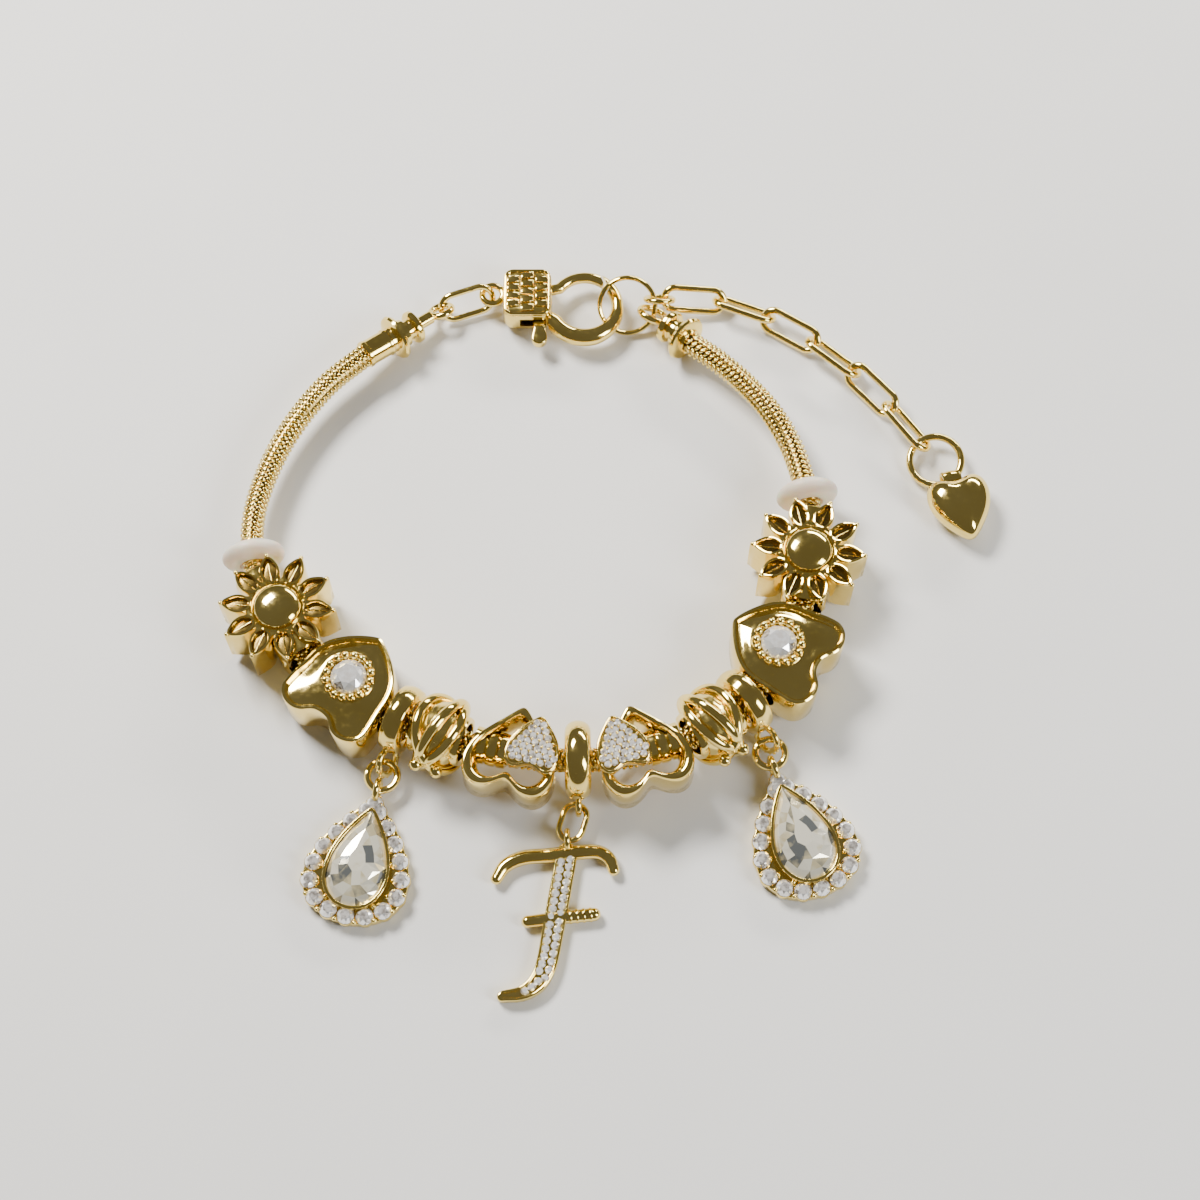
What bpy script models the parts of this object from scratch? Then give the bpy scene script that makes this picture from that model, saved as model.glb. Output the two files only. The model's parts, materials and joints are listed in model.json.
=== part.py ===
"""Charm bracelet: a closed snake chain with beads, a lobster clasp, an extender and three drops.

It lies on a flat surface. Lengths are in metres through MM, +Z is up, and the origin is the bottom
centre of the whole bracelet. LAYOUT_CENTRE moves the layout's own zero, near the wrist opening, there.
"""

import math

import bmesh
import bpy
import numpy as np
from mathutils import Matrix, Vector

MM = 0.001

# Clearances shared by all pieces
GAP = 0.3 * MM
BORE_CLEARANCE = 0.75 * MM
WELD = 0.002 * MM

# Snake chain
CHAIN_DIAMETER = 3.0 * MM
CHAIN_POINTS = 58
BORE_RADIUS = CHAIN_DIAMETER / 2 + BORE_CLEARANCE

# The chain's route from the left cap to the right cap: x, y and height in millimetres
CHAIN_ROUTE = (
    (-29.2, 30.6, 3.55),
    (-33.2, 26.9, 3.55),
    (-36.7, 22.1, 3.45),
    (-39.3, 16.8, 3.45),
    (-41.0, 10.9, 3.55),
    (-41.2, 5.6, 3.7),
    (-39.9, 0.4, 3.8),
    (-37.0, -4.9, 3.9),
    (-33.1, -9.5, 4.0),
    (-28.4, -13.3, 4.1),
    (-22.9, -16.5, 4.5),
    (-17.1, -18.9, 4.95),
    (-9.9, -21.0, 4.9),
    (-2.5, -21.6, 4.8),
    (4.8, -20.8, 4.9),
    (11.5, -18.2, 4.95),
    (17.0, -14.0, 4.5),
    (21.2, -8.5, 4.2),
    (23.6, -2.4, 4.0),
    (24.7, 4.0, 3.9),
    (24.9, 10.6, 3.8),
    (24.2, 14.8, 3.6),
    (22.9, 19.2, 3.4),
    (20.6, 23.6, 3.3),
    (17.7, 27.2, 3.2),
    (14.6, 30.2, 3.15),
    (11.7, 32.45, 3.1),
)
CENTRE_POINT = len(CHAIN_ROUTE) // 2

# The layout's zero lies this far from the bottom centre of the whole, in x and y
LAYOUT_CENTRE = Vector((1.06 * MM, -2.45 * MM, 0.0))

# Spacer rings with an eye
CENTRE_RING_DIAMETER = 9.1 * MM
CENTRE_RING_WIDTH = 3.3 * MM
SIDE_RING_DIAMETER = 8.2 * MM
SIDE_RING_WIDTH = 2.9 * MM
EYE_WIRE = 0.75 * MM
EYE_RADIUS = 1.1 * MM
SIDE_EYE_RADIUS = 1.5 * MM
EYE_HEIGHT = 1.6 * MM
SIDE_EYE_RAISE = 0.4 * MM
SIDE_RING_TURN = 5.0
HANG_PLAY = 0.05 * MM

# Open heart bead with its stone-set heart
OPEN_HEART_WIDTH = 10.8 * MM
OPEN_HEART_LENGTH = 10.9 * MM
OPEN_HEART_DEPTH = 5.4 * MM
OPEN_HEART_WALL = 1.5 * MM
OPEN_HEART_TURN = 4.0
OPEN_HEART_POWER = 2.3
OPEN_HEART_FILL = 0.06
PAVE_HEART_WIDTH = 6.2 * MM
PAVE_HEART_THICKNESS = 1.3 * MM
PAVE_STONE_DIAMETER = 1.4 * MM
PAVE_HEART_SEAT = 0.35 * MM

# Knot bead
KNOT_CORE_RADIUS = 3.9 * MM
KNOT_HOOP_RADIUS = 4.2 * MM
KNOT_HOOP_WIRE = 1.3 * MM
KNOT_HOOP_LEAN = 30.0
KNOT_WIDTH = 6.1 * MM

# Halo heart bead and its round stone
HALO_HEART_WIDTH = 12.4 * MM
HALO_HEART_LENGTH = 12.2 * MM
HALO_HEART_DEPTH = 6.0 * MM
HALO_HEART_SIDE = 11.3 * MM
HALO_CHAIN_OFFSET = 0.4 * MM
HALO_RIM = 0.65 * MM
HALO_DISH_DEPTH = 0.6 * MM
HALO_STONE_DIAMETER = 4.4 * MM
HALO_STONE_HEIGHT = 1.4 * MM
HALO_CUP_DEPTH = 2.0 * MM
HALO_POCKET_DEPTH = 0.7 * MM
HALO_BEADS = 16
HALO_BEAD_RADIUS = 0.36 * MM

# Sunflower bead
SUNFLOWER_DIAMETER = 13.8 * MM
SUNFLOWER_VALLEY = 8.6 * MM
SUNFLOWER_DEPTH = 6.0 * MM
SUNFLOWER_PETALS = 10
SUNFLOWER_DOME_DIAMETER = 6.0 * MM
SUNFLOWER_DOME_RISE = 1.1 * MM
SUNFLOWER_LENGTH = 13.5 * MM
SUNFLOWER_COLLAR = 12.0 * MM
COLLAR_WALL = 0.4 * MM
PETAL_DISH_DEPTH = 0.45 * MM

# Silicone stopper
STOPPER_DIAMETER = 7.4 * MM
STOPPER_WIDTH = 2.6 * MM
STOPPER_ROOM = 3.1 * MM

# End caps: sizes along the axis start at the eye
CAP_WIRE = 0.9 * MM
CAP_EYE_RADIUS_LEFT = 1.3 * MM
CAP_EYE_RADIUS_RIGHT = 1.7 * MM
CAP_SMALL_FLANGE = (4.2 * MM, 1.0 * MM)
CAP_BIG_FLANGE = (5.7 * MM, 1.9 * MM)
CAP_FLANGE_NECK = (2.6 * MM, 0.8 * MM)
CAP_EYE_NECK_DIAMETER = 1.6 * MM
CAP_SLEEVE_DIAMETER = 3.1 * MM
CAP_LEFT = {"eye": (-19.75, 38.0, 1.95), "heading": 218.0, "pitch": 8.5, "roll": 34.0, "neck": 2.3, "sleeve": 4.2}
CAP_RIGHT = {"eye": (6.64, 37.5, 1.91), "heading": -45.0, "pitch": 11.0, "roll": -40.0, "neck": 0.5, "sleeve": 0.5}

# Clasp: the layout's own coordinates, seen from above
CLASP_HEIGHT = 2.3 * MM
CLASP_BLOCK = (6.0 * MM, 6.6 * MM, 4.0 * MM)
CLASP_BLOCK_PLACE = (-9.0 * MM, 39.4 * MM)
CLASP_EYE_PLACE = (-13.4 * MM, 40.1 * MM)
CLASP_EYE_RADIUS = 1.25 * MM
CLASP_EYE_WIRE = 0.7 * MM
HOOK_CENTRE = (-1.9 * MM, 38.5 * MM)
HOOK_HOLE_RADIUS = 3.3 * MM
HOOK_WIRE_THICK = 2.2 * MM
HOOK_WIRE_THIN = 1.5 * MM
GATE_WIRE = 1.4 * MM
PIVOT_PLACE = (-7.8 * MM, 39.8 * MM)
PIVOT_PIN_DIAMETER = 1.0 * MM
LEVER_HUB_DIAMETER = 2.9 * MM
LEVER_THICKNESS = 1.2 * MM
LEVER_TAB_WIDTH = 1.6 * MM
TAB_END = (-7.5 * MM, 33.2 * MM)
LEVER_SWING = 16.0
SPLIT_PLACE = (0.1 * MM, 42.8 * MM)

# Rings and links
CLASP_LINK = (7.3 * MM, 4.0 * MM, 0.6 * MM)
JUMP_RING_PLACE = (3.4, 38.4)
JUMP_RING_RADIUS = 3.45 * MM
JUMP_RING_WIRE = 0.9 * MM
JUMP_RING_LEAN = 40.0
EXTENDER_RING = (4.1 * MM, 4.1 * MM, 0.7 * MM)
LINK_SIZE = (8.4 * MM, 3.6 * MM, 0.85 * MM)
LINK_LEANS = (28.0, -52.0)
LINK_COUNT = 6
END_RING = (7.1 * MM, 7.1 * MM, 0.9 * MM)
LETTER_RING = (5.0 * MM, 3.4 * MM, 0.7 * MM)
DROP_RING = (4.3 * MM, 4.3 * MM, 0.85 * MM)

# The extender's route from the small ring to the end ring: x, y and height in millimetres
EXTENDER_ROUTE = (
    (7.4, 39.2, 2.75),
    (12.0, 39.6, 2.0),
    (17.5, 38.6, 1.7),
    (23.5, 35.6, 1.6),
    (29.0, 31.6, 1.6),
    (33.8, 26.8, 1.6),
    (37.9, 21.5, 1.6),
    (41.6, 16.3, 1.4),
    (44.1, 11.9, 1.6),
)

# Puffed heart on the extender
HEART_DROP_WIDTH = 7.8 * MM
HEART_DROP_LENGTH = 8.8 * MM
HEART_DROP_THICKNESS = 4.4 * MM
HEART_DROP_HEADING = -76.0
HEART_DROP_POWER = 1.8
HEART_DROP_FILL = 0.13
HEART_TUBE_LENGTH = 2.4 * MM
HEART_TUBE_WALL = 0.45 * MM
HEART_TUBE_SINK = 0.75 * MM
FLOOR_GAP = 0.02 * MM

# Teardrops: the outer size, the pear stone and the halo
TEAR_WIDTH = 12.4 * MM
TEAR_LENGTH = 15.2 * MM
TEAR_PLATE = 1.7 * MM
PEAR_WIDTH = 7.8 * MM
PEAR_LENGTH = 11.4 * MM
PEAR_HEIGHT = 2.6 * MM
BEZEL_WALL = 0.45 * MM
BEZEL_RISE = 0.7 * MM
TEAR_STONES = 18
TEAR_STONE_DIAMETER = 1.6 * MM
TEAR_EYE_RADIUS = 1.1 * MM
TEAR_LEFT = {"ring_heading": -107.0, "lean": -12.0}
TEAR_RIGHT = {"ring_heading": -80.0, "lean": 20.0}

# Letter charm: its eye is at the top of the stem
LETTER_THICKNESS = 1.5 * MM
LETTER_HEIGHT = 17.0 * MM
LETTER_RING_HEADING = -107.0
LETTER_EYE_RADIUS = 1.0 * MM
LETTER_STONES = 12

GOLD = ("gold", (0.83, 0.60, 0.22, 1.0), 0.18, 1.0)
CLEAR = ("clear_stone", (0.92, 0.93, 0.95, 1.0), 0.05, 0.0)
CHAMPAGNE = ("pear_stone", (0.93, 0.87, 0.70, 1.0), 0.05, 0.0)
SILICONE = ("silicone", (0.90, 0.78, 0.66, 1.0), 0.5, 0.0)

PIECES = "charm_bracelet"
CUTTERS = "cutters"


def material(finish):
    """The Principled material of a finish: name, colour, roughness and metallic value."""
    name, colour, roughness, metallic = finish
    found = bpy.data.materials.get(name)
    if found:
        return found
    made = bpy.data.materials.new(name)
    made.use_nodes = True
    shader = made.node_tree.nodes["Principled BSDF"]
    shader.inputs["Base Color"].default_value = colour
    shader.inputs["Roughness"].default_value = roughness
    shader.inputs["Metallic"].default_value = metallic
    return made


def add(name, data):
    """A new object in the bracelet's collection."""
    made = bpy.data.objects.new(name, data)
    bpy.data.collections[PIECES].objects.link(made)
    return made


def from_bmesh(name, shape):
    """A new object from a bmesh, with its faces turned outwards."""
    bmesh.ops.recalc_face_normals(shape, faces=shape.faces)
    mesh = bpy.data.meshes.new(name)
    shape.to_mesh(mesh)
    shape.free()
    return add(name, mesh)


def baked(shape, transform=Matrix.Identity(4)):
    """A curve, or a mesh with modifiers, made a plain welded mesh and moved by a transform."""
    name = shape.name
    view = shape.evaluated_get(bpy.context.evaluated_depsgraph_get())
    mesh = bpy.data.meshes.new_from_object(view)
    bpy.data.objects.remove(shape)
    work = bmesh.new()
    work.from_mesh(mesh)
    bpy.data.meshes.remove(mesh)
    bmesh.ops.remove_doubles(work, verts=work.verts, dist=WELD)
    bmesh.ops.transform(work, matrix=transform, verts=work.verts)
    return from_bmesh(name, work)


def wire(name, points, diameter, cyclic=False, sides=6, shares=None):
    """A round wire through points; shares are its thickness at each point as a share of diameter."""
    curve = bpy.data.curves.new(name, "CURVE")
    curve.dimensions = "3D"
    curve.bevel_depth = diameter / 2
    curve.bevel_resolution = (sides - 4) // 2
    curve.use_fill_caps = not cyclic
    spline = curve.splines.new("POLY")
    spline.points.add(len(points) - 1)
    spline.use_cyclic_u = cyclic
    for index, point in enumerate(points):
        spline.points[index].co = (*point, 1.0)
        spline.points[index].radius = shares[index] if shares else 1.0
    return baked(add(name, curve))


def prism(name, outlines, low, high):
    """Flat outlines filled and raised from one height to another; an inner outline is a hole."""
    curve = bpy.data.curves.new(name, "CURVE")
    curve.dimensions = "2D"
    curve.fill_mode = "BOTH"
    curve.extrude = (high - low) / 2
    for outline in outlines:
        spline = curve.splines.new("POLY")
        spline.points.add(len(outline) - 1)
        spline.use_cyclic_u = True
        for index, point in enumerate(outline):
            spline.points[index].co = (point[0], point[1], 0.0, 1.0)
    return baked(add(name, curve), Matrix.Translation((0, 0, (low + high) / 2)))


def turned(name, profile, sides, closed, along_x=False):
    """A profile of radii and heights, run top to bottom, turned round Z and then laid along X if asked."""
    mesh = bpy.data.meshes.new(name)
    edges = [(index, index + 1) for index in range(len(profile) - 1)]
    if closed:
        edges.append((len(profile) - 1, 0))
    mesh.from_pydata([(radius, 0.0, height) for radius, height in profile], edges, [])
    shape = add(name, mesh)
    screw = shape.modifiers.new("Turn", "SCREW")
    screw.axis = "Z"
    screw.steps = sides
    screw.render_steps = sides
    screw.use_merge_vertices = True
    screw.merge_threshold = WELD
    turn = Matrix.Rotation(math.radians(90), 4, "Y") if along_x else Matrix.Identity(4)
    return baked(shape, turn)


def loft(name, sections):
    """A closed solid through sections that have the same number of points."""
    work = bmesh.new()
    rings = [[work.verts.new(point) for point in section] for section in sections]
    count = len(rings[0])
    for lower, upper in zip(rings, rings[1:]):
        for index in range(count):
            after = (index + 1) % count
            work.faces.new((lower[index], lower[after], upper[after], upper[index]))
    work.faces.new(rings[0])
    work.faces.new(rings[-1])
    return from_bmesh(name, work)


def cylinder(name, radius, length, sides=16, along_x=False):
    """A cylinder round the origin, along Z or along X."""
    work = bmesh.new()
    bmesh.ops.create_cone(work, cap_ends=True, segments=sides, radius1=radius, radius2=radius, depth=length)
    if along_x:
        turn = Matrix.Rotation(math.radians(90), 4, "Y")
        bmesh.ops.transform(work, matrix=turn, verts=work.verts)
    return from_bmesh(name, work)


def ball(name, radii, place, sides=16, rows=8):
    """An ellipsoid with three radii."""
    work = bmesh.new()
    matrix = Matrix.Translation(place) @ Matrix.Diagonal((*radii, 1.0))
    bmesh.ops.create_uvsphere(work, u_segments=sides, v_segments=rows, radius=1.0, matrix=matrix)
    return from_bmesh(name, work)


def block(name, low, high, bevel=0.0):
    """A box between two corners, with rounded edges if asked."""
    low = Vector(low)
    high = Vector(high)
    work = bmesh.new()
    matrix = Matrix.Translation((low + high) / 2) @ Matrix.Diagonal((*(high - low), 1.0))
    bmesh.ops.create_cube(work, size=1.0, matrix=matrix)
    if bevel:
        bmesh.ops.bevel(work, geom=work.edges[:], offset=bevel, segments=2, profile=0.5, affect="EDGES")
    return from_bmesh(name, work)


def small_stones(name, places, diameter, base, height):
    """Small round stones as low eight-sided frusta with a table, standing on one plane."""
    work = bmesh.new()
    for x, y in places:
        bmesh.ops.create_cone(
            work,
            cap_ends=True,
            segments=8,
            radius1=diameter / 2,
            radius2=diameter * 0.3,
            depth=height,
            matrix=Matrix.Translation((x, y, base + height / 2)),
        )
    return from_bmesh(name, work)


def small_balls(name, places, radius, height):
    """Small round grains on one level."""
    work = bmesh.new()
    for x, y in places:
        place = Matrix.Translation((x, y, height))
        bmesh.ops.create_uvsphere(work, u_segments=6, v_segments=4, radius=radius, matrix=place)
    return from_bmesh(name, work)


def combine(target, tool, operation):
    """Apply a Boolean of a tool that travels with its target."""
    bpy.data.collections[PIECES].objects.unlink(tool)
    bpy.data.collections[CUTTERS].objects.link(tool)
    tool.name = f"{target.name}_{tool.name}"
    tool.parent = target
    tool.hide_render = True
    tool.display_type = "WIRE"
    step = target.modifiers.new(tool.name, "BOOLEAN")
    step.operation = operation
    step.object = tool
    step.solver = "EXACT"


def fuse(target, tool):
    """Join a tool to a piece."""
    combine(target, tool, "UNION")


def cut(target, tool):
    """Take a tool away from a piece."""
    combine(target, tool, "DIFFERENCE")


def finish(piece, look, root, place=Matrix.Identity(4)):
    """Give a piece its material and its place under the bracelet's own empty."""
    piece.data.materials.clear()
    piece.data.materials.append(material(look))
    piece.data.shade_smooth()
    piece.data.set_sharp_from_angle(angle=math.radians(35))
    piece.parent = root
    piece.matrix_local = place
    return piece


def ring_points(radius, count=16, start=0.0, end=360.0):
    """Points on a circle in the XY plane, or on an arc with both ends."""
    whole = abs(end - start) >= 360.0
    steps = count if whole else count - 1
    turns = [math.radians(start + (end - start) * index / steps) for index in range(count)]
    return [Vector((radius * math.cos(turn), radius * math.sin(turn), 0.0)) for turn in turns]


def loop_points(length, width, diameter, count=12):
    """The centreline of an oval link, its long way along X."""
    radius = (width - diameter) / 2
    reach = (length - diameter) / 2 - radius
    if reach < WELD:
        return ring_points(radius, count)
    half = ring_points(radius, count // 2, -90.0, 90.0)
    right = [Vector((reach + point.x, point.y, 0.0)) for point in half]
    return right + [-point for point in right]


def heart_outline(width, length, count=24, power=3.0, fill=0.0):
    """A heart with its tip at +Y and its notch at -Y; a lower power blunts the tip, a fill lifts the notch."""
    points = []
    for index in range(count):
        turn = 2 * math.pi * (index + 0.5) / count
        across = math.copysign(abs(math.sin(turn)) ** power, math.sin(turn))
        along = 13 * math.cos(turn) - 5 * math.cos(2 * turn) - 2 * math.cos(3 * turn) - math.cos(4 * turn)
        lift = fill * (math.exp(-((turn / 0.55) ** 2)) + math.exp(-(((2 * math.pi - turn) / 0.55) ** 2)))
        points.append(Vector((across * width / 2, -((along + 2.5) / 29 + lift) * length, 0.0)))
    return points


def pear_outline(width, length, count=24, lift=0.0):
    """A pear with its point at +Y, centred on its own length."""
    points = []
    for index in range(count):
        turn = 2 * math.pi * index / count
        across = math.sin(turn) * math.sin(turn / 2) ** 0.9 / 0.79
        points.append(Vector((across * width / 2, math.cos(turn) * length / 2, lift)))
    return points


def scaled(outline, share, height):
    """An outline shrunk about its own centre and lifted to a height."""
    centre = sum(outline, Vector()) / len(outline)
    return [Vector((*(centre + (point - centre) * share).xy, height)) for point in outline]


def inset(outline, distance):
    """An outline moved inwards by a distance, along the mean normal of the two edges at each point."""
    count = len(outline)
    area = sum(a.x * b.y - b.x * a.y for a, b in zip(outline, outline[1:] + outline[:1]))
    side = 1.0 if area > 0 else -1.0
    moved = []
    for index, point in enumerate(outline):
        before = (point - outline[index - 1]).normalized()
        after = (outline[(index + 1) % count] - point).normalized()
        normal = Vector((-(before + after).y, (before + after).x, 0.0)).normalized()
        moved.append(point + normal * distance * side)
    return moved


def inside(point, outline):
    """Whether a point lies inside an outline."""
    crossings = 0
    for first, second in zip(outline, outline[1:] + outline[:1]):
        if (first.y > point.y) != (second.y > point.y):
            share = (point.y - first.y) / (second.y - first.y)
            crossings += point.x < first.x + share * (second.x - first.x)
    return crossings % 2 == 1


def evenly_spaced(outline, count):
    """Points at equal distances along a closed outline, the first at its start."""
    closed = outline + outline[:1]
    reach = [0.0]
    for first, second in zip(closed, closed[1:]):
        reach.append(reach[-1] + (second - first).length)
    wanted = [index * reach[-1] / count for index in range(count)]
    xs = np.interp(wanted, reach, [point.x for point in closed])
    ys = np.interp(wanted, reach, [point.y for point in closed])
    return list(zip(xs.tolist(), ys.tolist()))


class Route:
    """A smooth curve through hand-placed points, measured by its length."""

    def __init__(self, points, per_span=24):
        knots = [Vector(point) * MM for point in points]
        ends = [2 * knots[0] - knots[1], *knots, 2 * knots[-1] - knots[-2]]
        self.dense = []
        for before, first, second, after in zip(ends, ends[1:], ends[2:], ends[3:]):
            for step in range(per_span):
                share = step / per_span
                self.dense.append(self.blend(before, first, second, after, share))
        self.dense.append(knots[-1])
        self.reach = [0.0]
        for first, second in zip(self.dense, self.dense[1:]):
            self.reach.append(self.reach[-1] + (second - first).length)
        self.length = self.reach[-1]
        self.per_span = per_span

    @staticmethod
    def blend(before, first, second, after, share):
        """A point of the Catmull-Rom curve between two knots."""
        part = 2 * first + (second - before) * share
        part += (2 * before - 5 * first + 4 * second - after) * share**2
        part += (3 * first - before - 3 * second + after) * share**3
        return part / 2

    def at(self, distance):
        """The point at a distance along the curve; past its ends the curve runs straight on."""
        inner = min(max(distance, 0.0), self.length)
        point = Vector([float(np.interp(inner, self.reach, [p[axis] for p in self.dense])) for axis in range(3)])
        if distance < 0.0:
            return point + (self.dense[0] - self.dense[1]).normalized() * -distance
        if distance > self.length:
            return point + (self.dense[-1] - self.dense[-2]).normalized() * (distance - self.length)
        return point

    def knot(self, index):
        """The distance along the curve of one of its given points."""
        return self.reach[index * self.per_span]

    def frame(self, distance, half):
        """The mean place of a straight piece that rides on the curve, and its direction."""
        before = self.at(distance - half)
        after = self.at(distance + half)
        place = (before + 2 * self.at(distance) + after) / 4
        return place, (after - before).normalized()


def aimed(place, direction, roll=0.0, turn=0.0):
    """A frame with X along a direction, Y level and to its left, then turned about Z and rolled about X."""
    heading = math.atan2(direction.y, direction.x) + math.radians(turn)
    pitch = math.asin(max(-1.0, min(1.0, direction.z)))
    frame = Matrix.Rotation(heading, 4, "Z") @ Matrix.Rotation(-pitch, 4, "Y")
    return Matrix.Translation(place) @ frame @ Matrix.Rotation(math.radians(roll), 4, "X")


def level(place, heading):
    """A level frame at a place, with X at a heading in degrees."""
    return Matrix.Translation(place) @ Matrix.Rotation(math.radians(heading), 4, "Z")


def towards(heading):
    """The level unit vector at a heading in degrees."""
    return Vector((math.cos(math.radians(heading)), math.sin(math.radians(heading)), 0.0))


def bore(length):
    """The cutter for the chain's way through a bead."""
    return cylinder("bore", BORE_RADIUS, length, 12, along_x=True)


def collar(length):
    """The short tube that shows at both ends of a bead's bore."""
    return cylinder("collar", BORE_RADIUS + COLLAR_WALL, length, 12, along_x=True)


def snake_chain(route, root):
    """The round chain, whole from one end cap to the other."""
    points = [route.at(route.length * index / (CHAIN_POINTS - 1)) for index in range(CHAIN_POINTS)]
    finish(wire("snake_chain", points, CHAIN_DIAMETER, sides=8), GOLD, root)


def spacer_ring(name, diameter, width, eye_radius, eye_reach, eye_height, eye_lean):
    """A polished ring round the chain, with an eye low on its outer side."""
    outer = diameter / 2
    thick = outer - BORE_RADIUS
    half = [(0.0, 0.34), (0.30, 0.46), (0.66, 0.42), (0.90, 0.26)]
    upper = [(BORE_RADIUS + thick * share, width * side) for share, side in half]
    profile = upper + [(outer, 0.0)] + [(radius, -side) for radius, side in reversed(upper)]
    ring = turned(name, profile[::-1], 16, closed=True, along_x=True)
    out = math.sqrt(eye_reach**2 - eye_height**2)
    eye = wire("eye", ring_points(eye_radius, 12), EYE_WIRE, cyclic=True)
    upright = Matrix.Rotation(math.radians(90), 4, "Y")
    lean = Matrix.Rotation(math.radians(eye_lean), 4, "Y")
    eye.data.transform(Matrix.Translation((0.0, -out, eye_height)) @ lean @ upright)
    fuse(ring, eye)
    return ring, out


def open_heart(name, toward_centre):
    """A thick heart frame round the chain, with a small stone-set heart on the centre side."""
    outline = heart_outline(OPEN_HEART_WIDTH, OPEN_HEART_LENGTH, 22, OPEN_HEART_POWER, OPEN_HEART_FILL)
    half = OPEN_HEART_DEPTH / 2
    inner_width = OPEN_HEART_WIDTH - 2 * OPEN_HEART_WALL
    inner_length = OPEN_HEART_LENGTH - 2.4 * OPEN_HEART_WALL
    hole = heart_outline(inner_width, inner_length, 22, OPEN_HEART_POWER, OPEN_HEART_FILL)
    bead = prism(name, [outline, hole], -half, half)
    cut(bead, bore(OPEN_HEART_WIDTH * 1.2))
    small = heart_outline(PAVE_HEART_WIDTH, PAVE_HEART_WIDTH, 18)
    shift = Vector((toward_centre * (OPEN_HEART_WIDTH - PAVE_HEART_WIDTH) / 2, OPEN_HEART_LENGTH * 0.08, 0.0))
    small = [point + shift for point in small]
    base = half - PAVE_HEART_SEAT
    top = base + PAVE_HEART_THICKNESS
    fuse(bead, prism("pave_heart", [small], base, top))
    limit = inset(small, PAVE_STONE_DIAMETER * 0.42)
    pitch = PAVE_STONE_DIAMETER * 1.06
    places = []
    for row in range(-3, 4):
        for column in range(-3, 4):
            spot = shift + Vector(((column + row % 2 / 2) * pitch, row * pitch * 0.87, 0.0))
            if inside(spot, limit):
                places.append(spot.xy)
    fuse(bead, small_stones("stones", places, PAVE_STONE_DIAMETER, top - 0.1 * MM, 0.5 * MM))
    return bead


def knot_bead(name):
    """Two polished hoops crossing over a round core."""
    bead = ball(name, (KNOT_CORE_RADIUS * 0.74, KNOT_CORE_RADIUS, KNOT_CORE_RADIUS), (0, 0, 0), 14, 7)
    for side in (-1, 1):
        hoop = wire(f"hoop_{side + 2}", ring_points(KNOT_HOOP_RADIUS, 16), KNOT_HOOP_WIRE, cyclic=True)
        lean = Matrix.Rotation(math.radians(side * KNOT_HOOP_LEAN), 4, "Z")
        hoop.data.transform(lean @ Matrix.Rotation(math.radians(90), 4, "Y"))
        fuse(bead, hoop)
    fuse(bead, collar(KNOT_WIDTH))
    cut(bead, bore(KNOT_WIDTH * 1.5))
    return bead


def halo_outline():
    """The halo heart's outline: a blunt roof inside the loop, straight sides and two round lobes."""
    half = [
        (0.10, 0.47),
        (0.48, 0.35),
        (0.76, 0.20),
        (0.87, 0.05),
        (0.90, -0.12),
        (0.94, -0.28),
        (0.93, -0.41),
        (0.80, -0.50),
        (0.58, -0.54),
        (0.36, -0.52),
        (0.14, -0.44),
    ]
    right = [Vector((across * HALO_HEART_WIDTH / 2, along * HALO_HEART_LENGTH, 0.0)) for across, along in half]
    return right + [Vector((-point.x, point.y, 0.0)) for point in reversed(right)]


def halo_heart(name):
    """A deep heart bead with a dished face and a stone cup in a ring of grains."""
    outline = halo_outline()
    half = HALO_HEART_DEPTH / 2
    floor = half - HALO_DISH_DEPTH
    bead = prism(name, [outline], -half, half)
    cut(bead, prism("dish", [inset(outline, HALO_RIM)], floor, half + 1.0 * MM))
    seat = HALO_STONE_DIAMETER / 2 + GAP
    grains = seat + HALO_BEAD_RADIUS * 0.95
    top = half + 0.25 * MM
    cup = cylinder("cup", grains + HALO_BEAD_RADIUS * 0.8, HALO_CUP_DEPTH, 20)
    cup.data.transform(Matrix.Translation((0, 0, top - HALO_CUP_DEPTH / 2)))
    fuse(bead, cup)
    fuse(bead, small_balls("grains", [point.xy for point in ring_points(grains, HALO_BEADS)], HALO_BEAD_RADIUS, top))
    pocket = cylinder("pocket", seat, 2 * HALO_POCKET_DEPTH, 20)
    pocket.data.transform(Matrix.Translation((0, 0, top)))
    cut(bead, pocket)
    way = bore(HALO_HEART_WIDTH * 1.2)
    way.data.transform(Matrix.Translation((0, -HALO_CHAIN_OFFSET, 0)))
    cut(bead, way)
    return bead, top - HALO_POCKET_DEPTH + GAP


def halo_stone(name, seat):
    """A round cut stone with a table, crown facets and a short pavilion."""
    radius = HALO_STONE_DIAMETER / 2
    rows = [(0.56, 1.0), (0.80, 0.80), (1.0, 0.50), (1.0, 0.38), (0.62, 0.0)]
    profile = [(0.0, seat + HALO_STONE_HEIGHT)]
    profile += [(radius * share, seat + HALO_STONE_HEIGHT * rise) for share, rise in rows]
    profile.append((0.0, seat))
    return turned(name, profile, 12, closed=False)


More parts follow.
